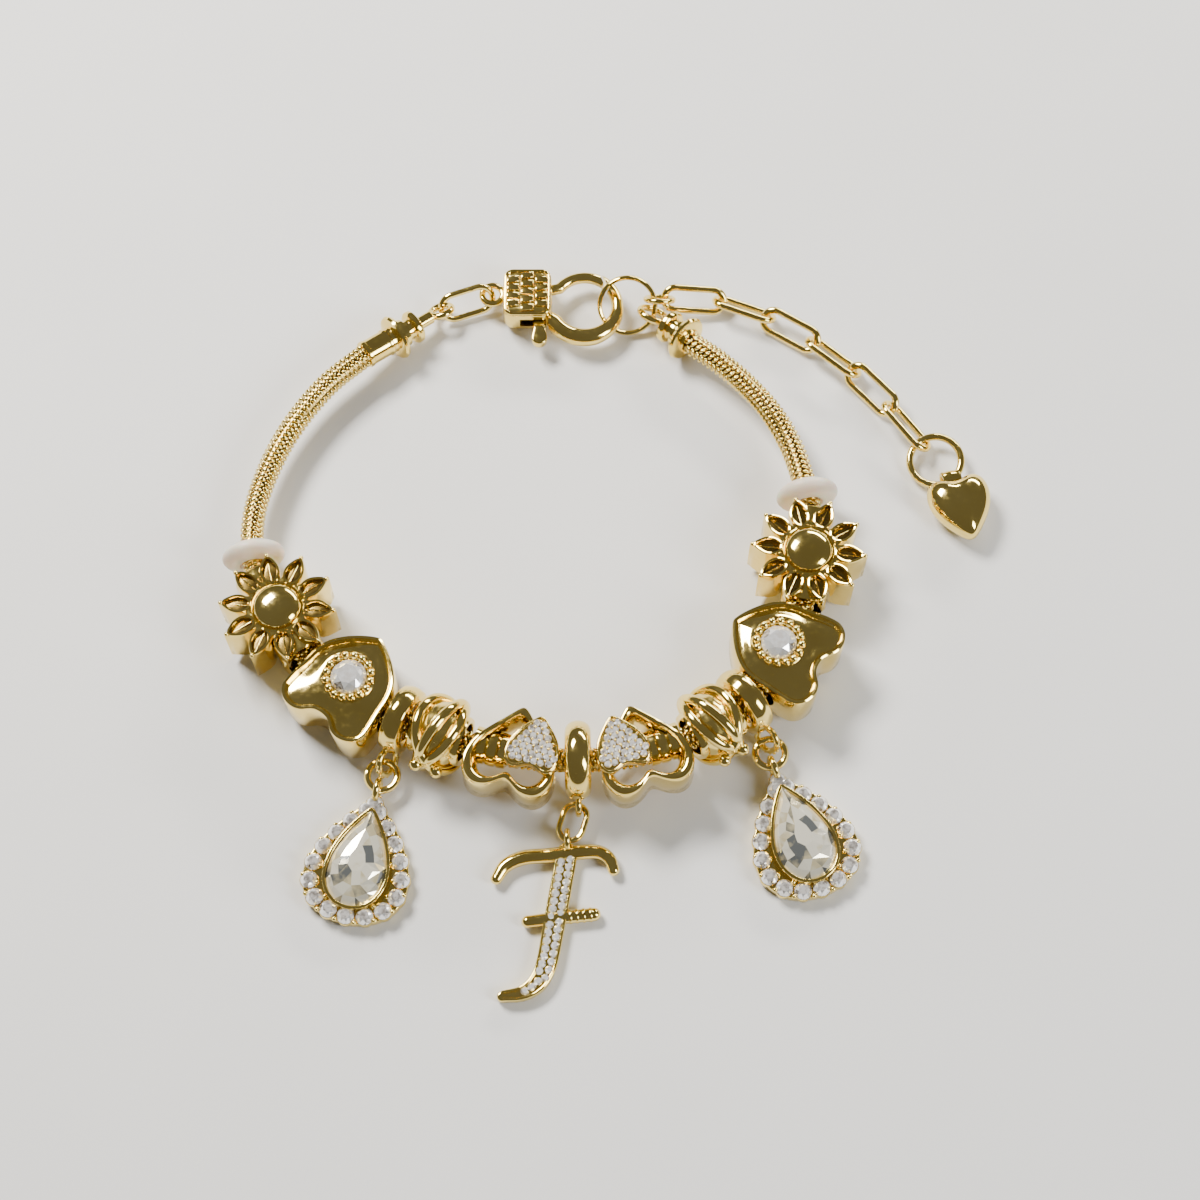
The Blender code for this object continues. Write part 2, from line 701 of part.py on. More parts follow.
def sunflower(name):
    """A ten-petal flower bead with dished petals and a polished dome."""
    step = 2 * math.pi / SUNFLOWER_PETALS
    outer = SUNFLOWER_DIAMETER / 2
    valley = SUNFLOWER_VALLEY / 2
    outline = []
    dishes = []
    for petal in range(SUNFLOWER_PETALS):
        middle = step * (petal + 0.5)
        along = Vector((math.cos(middle), math.sin(middle), 0.0))
        across = Vector((-along.y, along.x, 0.0))
        turn = middle - step / 2
        outline.append(Vector((valley * math.cos(turn), valley * math.sin(turn), 0.0)))
        outline.append(along * outer * 0.82 - across * outer * 0.115)
        outline.append(along * outer)
        outline.append(along * outer * 0.82 + across * outer * 0.115)
        leaf = [(0.50, 0.05), (0.66, 0.105), (0.90, 0.0), (0.66, -0.105), (0.50, -0.05)]
        dishes.append([along * outer * reach + across * outer * side for reach, side in leaf])
    half = SUNFLOWER_DEPTH / 2
    bead = prism(name, [outline], -half, half)
    cut(bead, prism("dishes", dishes, half - PETAL_DISH_DEPTH, half + 1.0 * MM))
    dome = SUNFLOWER_DOME_DIAMETER / 2
    fuse(bead, ball("dome", (dome, dome, SUNFLOWER_DOME_RISE), (0, 0, half), 14, 6))
    fuse(bead, collar(SUNFLOWER_COLLAR))
    cut(bead, bore(SUNFLOWER_DIAMETER * 1.2))
    return bead


def stopper(name):
    """A soft silicone ring that stays where it is pushed on the chain."""
    inner = CHAIN_DIAMETER / 2 + GAP
    outer = STOPPER_DIAMETER / 2
    half = STOPPER_WIDTH / 2
    profile = [(inner, half * 0.8), (outer * 0.72, half), (outer, half * 0.42)]
    profile += [(radius, -height) for radius, height in reversed(profile)]
    return turned(name, profile[::-1], 16, closed=True, along_x=True)


def string_beads(route, root):
    """The beads on the chain, laid out from the centre ring towards both ends; returns the eyes' places."""
    eyes = {}
    centre = route.knot(CENTRE_POINT)
    reach = CENTRE_RING_DIAMETER / 2 + EYE_RADIUS * 0.7
    place, direction = route.frame(centre, CENTRE_RING_WIDTH / 2)
    drop = EYE_HEIGHT - place.z
    ring, out = spacer_ring("bail_ring_center", CENTRE_RING_DIAMETER, CENTRE_RING_WIDTH, EYE_RADIUS, reach, drop, 0.0)
    frame = aimed(place, direction)
    finish(ring, GOLD, root, frame)
    eyes["center"] = frame @ Vector((0.0, -out, drop))
    order = (
        ("open_heart", OPEN_HEART_WIDTH),
        ("knot_bead", KNOT_WIDTH),
        ("bail_ring", SIDE_RING_WIDTH),
        ("halo_heart", HALO_HEART_SIDE),
        ("sunflower", SUNFLOWER_LENGTH),
        ("stopper", STOPPER_ROOM),
    )
    for side, way in (("left", -1), ("right", 1)):
        distance = centre + way * CENTRE_RING_WIDTH / 2
        for kind, length in order:
            distance += way * (GAP + length / 2)
            place, direction = route.frame(distance, length / 2)
            distance += way * length / 2
            name = f"{kind}_{side}"
            if kind == "open_heart":
                bead = open_heart(name, -way)
                finish(bead, GOLD, root, aimed(place, direction, turn=way * OPEN_HEART_TURN))
            elif kind == "knot_bead":
                finish(knot_bead(name), GOLD, root, aimed(place, direction))
            elif kind == "bail_ring":
                reach = SIDE_RING_DIAMETER / 2 + SIDE_EYE_RADIUS * 0.75
                drop = EYE_HEIGHT + SIDE_EYE_RAISE - place.z
                ring, out = spacer_ring(name, SIDE_RING_DIAMETER, length, SIDE_EYE_RADIUS, reach, drop, way * 20.0)
                frame = aimed(place, direction, turn=-SIDE_RING_TURN if way > 0 else 0.0)
                finish(ring, GOLD, root, frame)
                eyes[side] = frame @ Vector((0.0, -out, drop))
            elif kind == "halo_heart":
                bead, seat = halo_heart(name)
                frame = aimed(place, direction) @ Matrix.Translation((0, HALO_CHAIN_OFFSET, 0))
                finish(bead, GOLD, root, frame)
                finish(halo_stone(f"halo_stone_{side}", seat), CLEAR, root, frame)
            elif kind == "sunflower":
                finish(sunflower(name), GOLD, root, aimed(place, direction))
            else:
                finish(stopper(name), SILICONE, root, aimed(place, direction))
    return eyes


def end_cap(name, eye_radius, sizes, root):
    """A turned cap with two flanges, a neck with an eye, and a sleeve that meets the chain."""
    start = eye_radius + CAP_WIRE * 0.2
    neck = CAP_EYE_NECK_DIAMETER / 2
    small_radius, small_width = CAP_SMALL_FLANGE[0] / 2, CAP_SMALL_FLANGE[1]
    big_radius, big_width = CAP_BIG_FLANGE[0] / 2, CAP_BIG_FLANGE[1]
    waist_radius, waist_width = CAP_FLANGE_NECK[0] / 2, CAP_FLANGE_NECK[1]
    edge = 0.3 * MM
    small = start + sizes["neck"] * MM
    waist = small + small_width
    big = waist + waist_width
    tail = big + big_width
    end = tail + sizes["sleeve"] * MM
    profile = [
        (0.0, start),
        (neck, start),
        (neck, small),
        (small_radius - edge, small),
        (small_radius, small + edge),
        (small_radius, waist - edge),
        (small_radius - edge, waist),
        (waist_radius, waist),
        (waist_radius, big),
        (big_radius - edge, big),
        (big_radius, big + edge * 1.5),
        (big_radius, tail - edge * 1.5),
        (big_radius - edge, tail),
        (CAP_SLEEVE_DIAMETER / 2, tail),
        (CAP_SLEEVE_DIAMETER / 2, end),
        (0.0, end),
    ]
    cap = turned(name, profile[::-1], 12, closed=False, along_x=True)
    fuse(cap, wire("eye", ring_points(eye_radius, 14), CAP_WIRE, cyclic=True))
    place = Vector(sizes["eye"]) * MM
    level_way = towards(sizes["heading"])
    pitch = math.radians(sizes["pitch"])
    direction = Vector((level_way.x * math.cos(pitch), level_way.y * math.cos(pitch), math.sin(pitch)))
    finish(cap, GOLD, root, aimed(place, direction, roll=sizes["roll"]))


def split_box(name, keep_left):
    """A cutter on one side of the slanting split between the hook's tip and the gate."""
    arm = Vector(SPLIT_PLACE) - Vector(PIVOT_PLACE)
    heading = math.degrees(math.atan2(arm.y, arm.x)) - 90.0
    size = 5.0 * MM
    low = (-size / 2, -GAP / 2, -size / 2)
    high = (size / 2, size / 2, size / 2)
    box = block(name, low, high)
    side = 0.0 if keep_left else 180.0
    flip = Matrix.Rotation(math.radians(side), 4, "Z")
    box.data.transform(level(Vector((*SPLIT_PLACE, 0.0)), heading) @ flip)
    return box


def clasp_bars():
    """Raised bars on the block's face in three staggered columns."""
    outlines = []
    bar_width = 1.45 * MM
    bar_height = 0.62 * MM
    for column in range(3):
        across = (column - 1) * 1.85 * MM
        count = 5 if column % 2 else 4
        for row in range(count):
            up = (row - (count - 1) / 2) * 1.15 * MM
            low_x, high_x = across - bar_width / 2, across + bar_width / 2
            low_y, high_y = up - bar_height / 2, up + bar_height / 2
            outlines.append([(low_x, low_y), (high_x, low_y), (high_x, high_y), (low_x, high_y)])
    return outlines


def clasp_body(root):
    """The cast block with its tail eye, raised bars, thick hook, slot for the lever and pivot pin."""
    size = Vector(CLASP_BLOCK)
    middle = Vector((*CLASP_BLOCK_PLACE, 0.0))
    body = block("clasp_body", middle - size / 2, middle + size / 2, bevel=0.8 * MM)
    bars = prism("bars", clasp_bars(), size.z / 2 - 0.2 * MM, size.z / 2 + 0.3 * MM)
    bars.data.transform(Matrix.Translation(middle))
    fuse(body, bars)
    eye = wire("eye", ring_points(CLASP_EYE_RADIUS, 12), CLASP_EYE_WIRE, cyclic=True)
    eye.data.transform(Matrix.Translation((*CLASP_EYE_PLACE, 0.0)))
    fuse(body, eye)
    centre = Vector((*HOOK_CENTRE, 0.0))
    root_point = middle + Vector((size.x * 0.25, -size.y * 0.3, 0.0))
    points = [root_point]
    shares = [0.9]
    steps = 15
    for index in range(steps):
        turn = 212.0 + (438.0 - 212.0) * index / (steps - 1)
        thin = min(1.0, max(0.0, (turn - 285.0) / 75.0))
        thick = HOOK_WIRE_THICK + (HOOK_WIRE_THIN - HOOK_WIRE_THICK) * thin
        points.append(centre + towards(turn) * (HOOK_HOLE_RADIUS + thick / 2))
        shares.append(thick / HOOK_WIRE_THICK)
    hook = wire("hook", points, HOOK_WIRE_THICK, sides=10, shares=shares)
    fuse(body, hook)
    cut(body, split_box("split", keep_left=False))
    pivot = Vector((*PIVOT_PLACE, 0.0))
    room = GATE_WIRE / 2 + GAP
    below = middle.y - size.y / 2 - 1.0 * MM
    side = LEVER_TAB_WIDTH / 2 + 2 * GAP
    swing = (pivot.y - below) * math.sin(math.radians(LEVER_SWING))
    channel = [
        (pivot.x - side - swing, below),
        (pivot.x + side, below),
        (pivot.x + side, pivot.y),
        (pivot.x - side, pivot.y),
    ]
    cut(body, prism("tab_slot", [channel], -room, room))
    gate_low = pivot.y - 1.25 * MM
    gate_high = pivot.y + 2.4 * MM
    right = middle.x + size.x / 2 + 1.0 * MM
    gate = [(pivot.x - 0.5 * MM, gate_low), (right, gate_low), (right, gate_high), (pivot.x - 0.5 * MM, gate_high)]
    cut(body, prism("gate_slot", [gate], -room, room))
    hub = cylinder("hub_room", LEVER_HUB_DIAMETER / 2 + GAP, 2 * room, 16)
    hub.data.transform(Matrix.Translation(pivot))
    cut(body, hub)
    pin = cylinder("pin", PIVOT_PIN_DIAMETER / 2, 2 * room + 0.6 * MM, 12)
    pin.data.transform(Matrix.Translation(pivot))
    fuse(body, pin)
    finish(body, GOLD, root, Matrix.Translation((0, 0, CLASP_HEIGHT)))


def clasp_lever(root):
    """The sprung rocker: hub, thumb tab and gate arm, with its origin on the pivot."""
    pivot = Vector((*PIVOT_PLACE, 0.0))
    half = LEVER_THICKNESS / 2
    lever = cylinder("clasp_lever", LEVER_HUB_DIAMETER / 2, LEVER_THICKNESS, 16)
    tab = Vector((*TAB_END, 0.0)) - pivot
    wide = LEVER_TAB_WIDTH / 2
    narrow = wide * 0.7
    outline = [(-wide, 0.0), (tab.x - narrow, tab.y), (tab.x + narrow, tab.y), (wide, 0.0)]
    fuse(lever, prism("tab", [outline], -half, half * 1.01))
    centre = Vector((*HOOK_CENTRE, 0.0)) - pivot
    radius = HOOK_HOLE_RADIUS + GATE_WIRE / 2
    points = [Vector((0.2 * MM, 0.2 * MM, 0.0))]
    steps = 9
    for index in range(steps):
        turn = 142.0 + (52.0 - 142.0) * index / (steps - 1)
        points.append(centre + towards(turn) * radius)
    fuse(lever, wire("gate", points, GATE_WIRE, sides=8))
    split = split_box("split", keep_left=True)
    split.data.transform(Matrix.Translation(-pivot))
    cut(lever, split)
    cut(lever, cylinder("pin_hole", PIVOT_PIN_DIAMETER / 2 + GAP, LEVER_THICKNESS * 2, 12))
    finish(lever, GOLD, root, Matrix.Translation(pivot + Vector((0, 0, CLASP_HEIGHT))))


def clasp_rings(root):
    """The oval link on the clasp's tail and the big jump ring through its hook."""
    left = Vector(CAP_LEFT["eye"]) * MM
    right = Vector((*CLASP_EYE_PLACE, CLASP_HEIGHT))
    length, width, thick = CLASP_LINK
    link = wire("clasp_link", loop_points(length, width, thick), thick, cyclic=True)
    finish(link, GOLD, root, aimed((left + right) / 2, (right - left).normalized(), roll=55.0))
    lean = math.radians(JUMP_RING_LEAN)
    height = JUMP_RING_WIRE / 2 + JUMP_RING_RADIUS * math.sin(lean) + FLOOR_GAP
    ring = wire("clasp_jump_ring", ring_points(JUMP_RING_RADIUS, 16), JUMP_RING_WIRE, cyclic=True)
    place = Vector((JUMP_RING_PLACE[0] * MM, JUMP_RING_PLACE[1] * MM, height))
    finish(ring, GOLD, root, Matrix.Translation(place) @ Matrix.Rotation(lean, 4, "X"))


def extender(root):
    """The small ring, six long links and end ring, each hooked through the next, and the puffed heart."""
    route = Route(EXTENDER_ROUTE)
    loops = [("extender_ring", EXTENDER_RING, -50.0)]
    for index in range(LINK_COUNT):
        loops.append((f"extender_link_{index + 1}", LINK_SIZE, LINK_LEANS[index % 2]))
    loops.append(("extender_end_ring", END_RING, 8.0))
    distance = 0.0
    before = None
    for name, size, roll in loops:
        length, width, thick = size
        if before:
            reach = (before[0] - before[2] + length - thick) / 2
            distance += reach - (before[2] + thick) / 2 - GAP
        place, direction = route.frame(distance, length / 4)
        frame = aimed(place, direction, roll=roll)
        finish(wire(name, loop_points(length, width, thick), thick, cyclic=True), GOLD, root, frame)
        before = size
    heart_drop(frame, root)


def heart_drop(ring_frame, root):
    """A puffed heart with a short tube at its notch, bored along the end ring."""
    outline = heart_outline(HEART_DROP_WIDTH, HEART_DROP_LENGTH, 20, HEART_DROP_POWER, HEART_DROP_FILL)
    thick = HEART_DROP_THICKNESS / 2
    upper = [(0.98, 0.22), (0.88, 0.58), (0.66, 0.86), (0.30, 0.98)]
    levels = [(share, -rise) for share, rise in reversed(upper)] + upper
    heart = loft("heart_drop", [scaled(outline, share, rise * thick) for share, rise in levels])
    ring_reach = (END_RING[0] - END_RING[2]) / 2
    notch = min(point.y for point in outline if abs(point.x) < HEART_DROP_WIDTH * 0.1)
    tube_place = ring_frame @ Vector((ring_reach, 0.0, 0.0))
    tube = cylinder("tube", END_RING[2] / 2 + GAP + HEART_TUBE_WALL, HEART_TUBE_LENGTH, 14, along_x=True)
    rise = tube_place.z - thick - FLOOR_GAP
    tube.data.transform(Matrix.Translation((0.0, notch - HEART_TUBE_SINK, rise)))
    fuse(heart, tube)
    frame = level(Vector((tube_place.x, tube_place.y, 0.0)), HEART_DROP_HEADING - 90.0)
    frame = frame @ Matrix.Translation((0.0, -(notch - HEART_TUBE_SINK), thick + FLOOR_GAP))
    channel = wire("channel", ring_points(ring_reach, 20), END_RING[2] + 2 * GAP, cyclic=True, sides=10)
    channel.data.transform(frame.inverted() @ ring_frame)
    cut(heart, channel)
    finish(heart, GOLD, root, frame)


def hang(name, eye, size, heading, root):
    """A level ring hooked into an eye; returns the place where its far end holds the next eye."""
    length, width, thick = size
    reach = (length - thick) / 2
    way = towards(heading)
    grip = eye + way * HANG_PLAY
    ring = wire(name, loop_points(length, width, thick), thick, cyclic=True)
    finish(ring, GOLD, root, level(grip + way * reach, heading))
    return grip + way * 2 * reach


def teardrop(side, eye, sizes, root):
    """A pear stone in a bezel, with a halo of small stones, hanging from a jump ring."""
    grip = hang(f"drop_ring_{side}", eye, DROP_RING, sizes["ring_heading"], root)
    stone_pear = pear_outline(PEAR_WIDTH, PEAR_LENGTH, 18)
    pocket = inset(stone_pear, -GAP)
    bezel = inset(stone_pear, -GAP - BEZEL_WALL)
    plate = pear_outline(TEAR_WIDTH, TEAR_LENGTH, 24)
    base = 0.0
    drop = prism(f"teardrop_{side}", [plate], base, TEAR_PLATE)
    fuse(drop, prism("bezel", [bezel], base + 0.3 * MM, TEAR_PLATE + BEZEL_RISE))
    middle = inset(plate, TEAR_STONE_DIAMETER / 2 + 0.05 * MM)
    places = evenly_spaced(middle, TEAR_STONES)
    fuse(drop, small_stones("stones", places, TEAR_STONE_DIAMETER, TEAR_PLATE - 0.1 * MM, 0.7 * MM))
    floor = 0.5 * MM
    cut(drop, prism("pocket", [pocket], floor, TEAR_PLATE * 3))
    eye_ring = wire("eye", ring_points(TEAR_EYE_RADIUS, 12), EYE_WIRE, cyclic=True)
    top = TEAR_LENGTH / 2 + TEAR_EYE_RADIUS * 0.6
    rise = grip.z
    eye_ring.data.transform(Matrix.Translation((0.0, top, rise)) @ Matrix.Rotation(math.radians(90), 4, "Y"))
    fuse(drop, eye_ring)
    frame = level(Vector((grip.x, grip.y, 0.0)), sizes["lean"]) @ Matrix.Translation((0.0, -top, 0.0))
    finish(drop, GOLD, root, frame)
    levels = [(0.25, 0.0), (0.72, 0.22), (1.0, 0.50), (1.0, 0.58), (0.80, 0.84), (0.58, 1.0)]
    outline = pear_outline(PEAR_WIDTH, PEAR_LENGTH, 16)
    stone = loft(f"pear_stone_{side}", [scaled(outline, share, floor + GAP + rise * PEAR_HEIGHT) for share, rise in levels])
    finish(stone, CHAMPAGNE, root, frame)


def stroke(rows, height):
    """The outline of a pen stroke: rows hold x and y as shares of height, and half its width in millimetres."""
    points = [Vector((x * height, y * height, 0.0)) for x, y, _ in rows]
    left = []
    right = []
    for index, point in enumerate(points):
        before = points[max(index - 1, 0)]
        after = points[min(index + 1, len(points) - 1)]
        way = (after - before).normalized()
        side = Vector((-way.y, way.x, 0.0)) * rows[index][2] * MM
        left.append(point + side)
        right.append(point - side)
    return left + right[::-1]


def letter_charm(eye, root):
    """A single slanted capital: a stem set with stones, an arched top bar and a ribbed middle bar."""
    grip = hang("letter_ring", eye, LETTER_RING, LETTER_RING_HEADING, root)
    stem_rows = [
        (0.0, -0.03, 0.9),
        (-0.045, -0.30, 0.95),
        (-0.09, -0.56, 0.95),
        (-0.13, -0.78, 0.9),
        (-0.19, -0.91, 0.75),
        (-0.29, -0.98, 0.5),
        (-0.42, -1.0, 0.3),
    ]
    top_rows = [
        (-0.47, -0.21, 0.35),
        (-0.41, -0.12, 0.5),
        (-0.29, -0.065, 0.55),
        (-0.12, -0.05, 0.55),
        (0.06, -0.03, 0.55),
        (0.20, -0.025, 0.5),
        (0.28, -0.07, 0.45),
        (0.31, -0.15, 0.35),
    ]
    middle_rows = [(-0.26, -0.50, 0.45), (-0.06, -0.475, 0.5), (0.18, -0.45, 0.5)]
    letter = prism("letter_charm", [stroke(stem_rows, LETTER_HEIGHT)], 0.0, LETTER_THICKNESS)
    fuse(letter, prism("top_bar", [stroke(top_rows, LETTER_HEIGHT)], 0.0, LETTER_THICKNESS * 0.93))
    fuse(letter, prism("middle_bar", [stroke(middle_rows, LETTER_HEIGHT)], 0.0, LETTER_THICKNESS * 0.86))
    stem = Route([(x * LETTER_HEIGHT / MM, y * LETTER_HEIGHT / MM, 0.0) for x, y, _ in stem_rows[:5]])
    places = [stem.at(stem.length * (index + 0.5) / LETTER_STONES).xy for index in range(LETTER_STONES)]
    size = stem.length / LETTER_STONES * 0.92
    fuse(letter, small_stones("stones", places, size, LETTER_THICKNESS - 0.1 * MM, 0.5 * MM))
    eye_ring = wire("eye", ring_points(LETTER_EYE_RADIUS, 12), EYE_WIRE * 0.9, cyclic=True)
    lift = LETTER_EYE_RADIUS * 0.8
    eye_ring.data.transform(Matrix.Translation((0.0, lift, grip.z)) @ Matrix.Rotation(math.radians(90), 4, "Y"))
    fuse(letter, eye_ring)
    frame = Matrix.Translation((grip.x, grip.y, 0.0)) @ Matrix.Translation((0.0, -lift, 0.0))
    finish(letter, GOLD, root, frame)


def main():
    for old in list(bpy.data.objects):
        bpy.data.objects.remove(old)
    for name in (PIECES, CUTTERS):
        made = bpy.data.collections.new(name)
        bpy.context.scene.collection.children.link(made)
    root = add("layout", None)
    root.location = -LAYOUT_CENTRE
    route = Route(CHAIN_ROUTE)
    snake_chain(route, root)
    eyes = string_beads(route, root)
    end_cap("end_cap_left", CAP_EYE_RADIUS_LEFT, CAP_LEFT, root)
    end_cap("end_cap_right", CAP_EYE_RADIUS_RIGHT, CAP_RIGHT, root)
    clasp_body(root)
    clasp_lever(root)
    clasp_rings(root)
    extender(root)
    letter_charm(eyes["center"], root)
    teardrop("left", eyes["left"], TEAR_LEFT, root)
    teardrop("right", eyes["right"], TEAR_RIGHT, root)


main()
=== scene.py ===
"""Charm bracelet: the fine visual model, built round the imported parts.

A snake chain with beads, a lobster clasp, an extender and three drops lies closed on a pale surface.
Each piece is modelled in millimetres round its own origin.
A matrix then takes it to its place and to metres.
"""

from __future__ import annotations

import json
import logging
import math
from dataclasses import dataclass, field
from enum import Enum
from typing import Any, Iterable, Sequence

import bpy
import numpy as np
from mathutils import Matrix, Vector

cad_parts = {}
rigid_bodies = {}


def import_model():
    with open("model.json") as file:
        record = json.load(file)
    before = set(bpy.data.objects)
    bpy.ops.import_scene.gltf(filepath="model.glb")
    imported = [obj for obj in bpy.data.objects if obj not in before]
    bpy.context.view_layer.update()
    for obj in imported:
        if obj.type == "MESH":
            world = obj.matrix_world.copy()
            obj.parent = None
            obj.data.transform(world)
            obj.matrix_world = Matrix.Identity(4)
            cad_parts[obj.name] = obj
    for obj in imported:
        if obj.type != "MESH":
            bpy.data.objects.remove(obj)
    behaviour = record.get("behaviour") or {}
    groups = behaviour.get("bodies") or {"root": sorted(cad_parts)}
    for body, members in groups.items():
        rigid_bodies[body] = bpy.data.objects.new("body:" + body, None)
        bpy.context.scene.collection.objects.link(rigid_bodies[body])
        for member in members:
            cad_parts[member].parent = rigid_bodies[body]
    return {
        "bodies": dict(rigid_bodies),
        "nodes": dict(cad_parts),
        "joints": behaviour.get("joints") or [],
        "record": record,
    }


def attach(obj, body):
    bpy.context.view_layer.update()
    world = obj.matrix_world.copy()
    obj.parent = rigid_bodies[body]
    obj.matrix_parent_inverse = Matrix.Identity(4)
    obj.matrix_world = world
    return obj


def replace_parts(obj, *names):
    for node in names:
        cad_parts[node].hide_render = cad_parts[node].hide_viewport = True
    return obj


LOG = logging.getLogger("charm_bracelet")
MM = 0.001
BODY = "bracelet"
LEVER_BODY = "clasp_lever"

Piece = bpy.types.Object
Line = Sequence[Vector]
Shares = Sequence[float] | None
Colour = tuple[float, float, float, float]
Triple = tuple[float, float, float]

# The face attribute that holds a facet's painted brightness: a painted sparkle that stands in for the light
# and shade reflected in a cut stone
SPARKLE_ATTRIBUTE = "facet"

# The radius of the hole that a bead has for the chain
BORE = 2.25

# Turns a piece spun round X to stand on Z, and a ring drawn round Z to stand across X
STAND = Matrix.Rotation(-math.pi / 2, 4, "Y")
ACROSS = Matrix.Rotation(math.pi / 2, 4, "Y")

# The layout's zero lies this far from the bottom centre of the whole, in millimetres
LAYOUT_CENTRE = Vector((1.06, -2.45, 0.0))

# The chain's route from the left cap to the right cap: x, y and height in millimetres
CHAIN_ROUTE = (
    (-29.2, 30.6, 3.55),
    (-33.2, 26.9, 3.55),
    (-36.7, 22.1, 3.45),
    (-39.3, 16.8, 3.45),
    (-41.0, 10.9, 3.55),
    (-41.2, 5.6, 3.7),
    (-39.9, 0.4, 3.8),
    (-37.0, -4.9, 3.9),
    (-33.1, -9.5, 4.0),
    (-28.4, -13.3, 4.1),
    (-22.9, -16.5, 4.5),
    (-17.1, -18.9, 4.95),
    (-9.9, -21.0, 4.9),
    (-2.5, -21.6, 4.8),
    (4.8, -20.8, 4.9),
    (11.5, -18.2, 4.95),
    (17.0, -14.0, 4.5),
    (21.2, -8.5, 4.2),
    (23.6, -2.4, 4.0),
    (24.7, 4.0, 3.9),
    (24.9, 10.6, 3.8),
    (24.2, 14.8, 3.6),
    (22.9, 19.2, 3.4),
    (20.6, 23.6, 3.3),
    (17.7, 27.2, 3.2),
    (14.6, 30.2, 3.15),
    (11.7, 32.45, 3.1),
)
CENTRE_POINT = 13

# The extender's route from the small ring to the end ring
EXTENDER_ROUTE = (
    (7.4, 39.2, 2.75),
    (12.0, 39.6, 2.0),
    (17.5, 38.6, 1.7),
    (23.5, 35.6, 1.6),
    (29.0, 31.6, 1.6),
    (33.8, 26.8, 1.6),
    (37.9, 21.5, 1.6),
    (41.6, 16.3, 1.4),
    (44.1, 11.9, 1.6),
)


def between(before: Vector, first: Vector, second: Vector, after: Vector, share: float) -> Vector:
    """A point on the smooth curve through four points.

    Args:
        before: the point ahead of the span.
        first: the span's start.
        second: the span's end.
        after: the point past the span.
        share: how far along the span the point lies.

    Returns:
        The point.
    """
    part = 2 * first + (second - before) * share
    part += (2 * before - 5 * first + 4 * second - after) * share**2
    part += (3 * first - before - 3 * second + after) * share**3
    return part / 2


class Route:
    """A smooth curve through given points, measured by its length in millimetres."""

    def __init__(self, points: Sequence[Sequence[float]], per_span: int = 24) -> None:
        """Samples the curve.

        Args:
            points: the points that the curve passes through.
            per_span: how many samples lie between two points.
        """
        knots = [Vector(point) - LAYOUT_CENTRE for point in points]
        ends = [2 * knots[0] - knots[1], *knots, 2 * knots[-1] - knots[-2]]
        dense = []
        for four in zip(ends, ends[1:], ends[2:], ends[3:]):
            dense += [between(*four, step / per_span) for step in range(per_span)]
        dense.append(knots[-1])
        self.samples = np.array([tuple(point) for point in dense])
        steps = np.linalg.norm(np.diff(self.samples, axis=0), axis=1)
        self.reach = np.concatenate(([0.0], np.cumsum(steps)))
        self.length = float(self.reach[-1])
        self.per_span = per_span

    def at(self, distance: float) -> Vector:
        """The point at a distance along the curve; past its ends the curve runs straight on.

        Args:
            distance: how far along the curve.

        Returns:
            The point.
        """
        inner = min(max(distance, 0.0), self.length)
        point = Vector([float(np.interp(inner, self.reach, self.samples[:, axis])) for axis in range(3)])
        last = (0, 1) if distance < inner else (-1, -2)
        way = Vector(self.samples[last[0]]) - Vector(self.samples[last[1]])
        return point + way.normalized() * abs(distance - inner)

    def knot(self, index: int) -> float:
        """The distance along the curve of one of its given points."""
        return float(self.reach[index * self.per_span])

    def frame(self, distance: float, half: float, turn: float = 0.0) -> Matrix:
        """A frame for a straight piece that rides on the curve.

        Args:
            distance: the piece's place along the curve.
            half: half the piece's length.
            turn: an extra turn about Z in degrees.

        Returns:
            A matrix with X along the curve and Y level, towards the wrist.
        """
        before = self.at(distance - half)
        after = self.at(distance + half)
        place = (before + 2 * self.at(distance) + after) / 4
        return aimed(place, after - before, turn=turn)


def aimed(place: Vector, direction: Vector, roll: float = 0.0, turn: float = 0.0) -> Matrix:
    """A frame with X along a direction and Y level.

    Args:
        place: its origin.
        direction: the way that X points.
        roll: a turn about X in degrees.
        turn: an extra turn about Z in degrees.

    Returns:
        The frame.
    """
    way = direction.normalized()
    heading = math.atan2(way.y, way.x) + math.radians(turn)
    frame = Matrix.Rotation(heading, 4, "Z") @ Matrix.Rotation(-math.asin(way.z), 4, "Y")
    return Matrix.Translation(place) @ frame @ Matrix.Rotation(math.radians(roll), 4, "X")


def level(place: Vector, heading: float) -> Matrix:
    """A level frame at a place, turned about Z by a heading in degrees."""
    return Matrix.Translation(place) @ Matrix.Rotation(math.radians(heading), 4, "Z")


def towards(heading: float) -> Vector:
    """The level unit vector at a heading in degrees."""
    return Vector((math.cos(math.radians(heading)), math.sin(math.radians(heading)), 0.0))


def aside(way: Vector) -> Vector:
    """The level vector a quarter turn to the left of another."""
    return Vector((-way.y, way.x, 0.0))


def flat(*places: tuple[float, float]) -> list[Vector]:
    """Level points from pairs of x and y."""
    return [Vector((x, y, 0.0)) for x, y in places]


def box(left: float, right: float, low: float, high: float) -> list[Vector]:
    """A level rectangle."""
    return flat((left, low), (right, low), (right, high), (left, high))


def circle(radius: float, count: int, height: float = 0.0, start: float = 0.0) -> list[Vector]:
    """Points round a circle in the XY plane."""
    turns = [start + 2 * math.pi * index / count for index in range(count)]
    return [Vector((radius * math.cos(turn), radius * math.sin(turn), height)) for turn in turns]


def arc(centre: Vector, radius: float, first: float, last: float, count: int) -> list[Vector]:
    """Points on an arc in the XY plane between two headings in degrees, with both ends."""
    return [centre + towards(first + (last - first) * step / (count - 1)) * radius for step in range(count)]


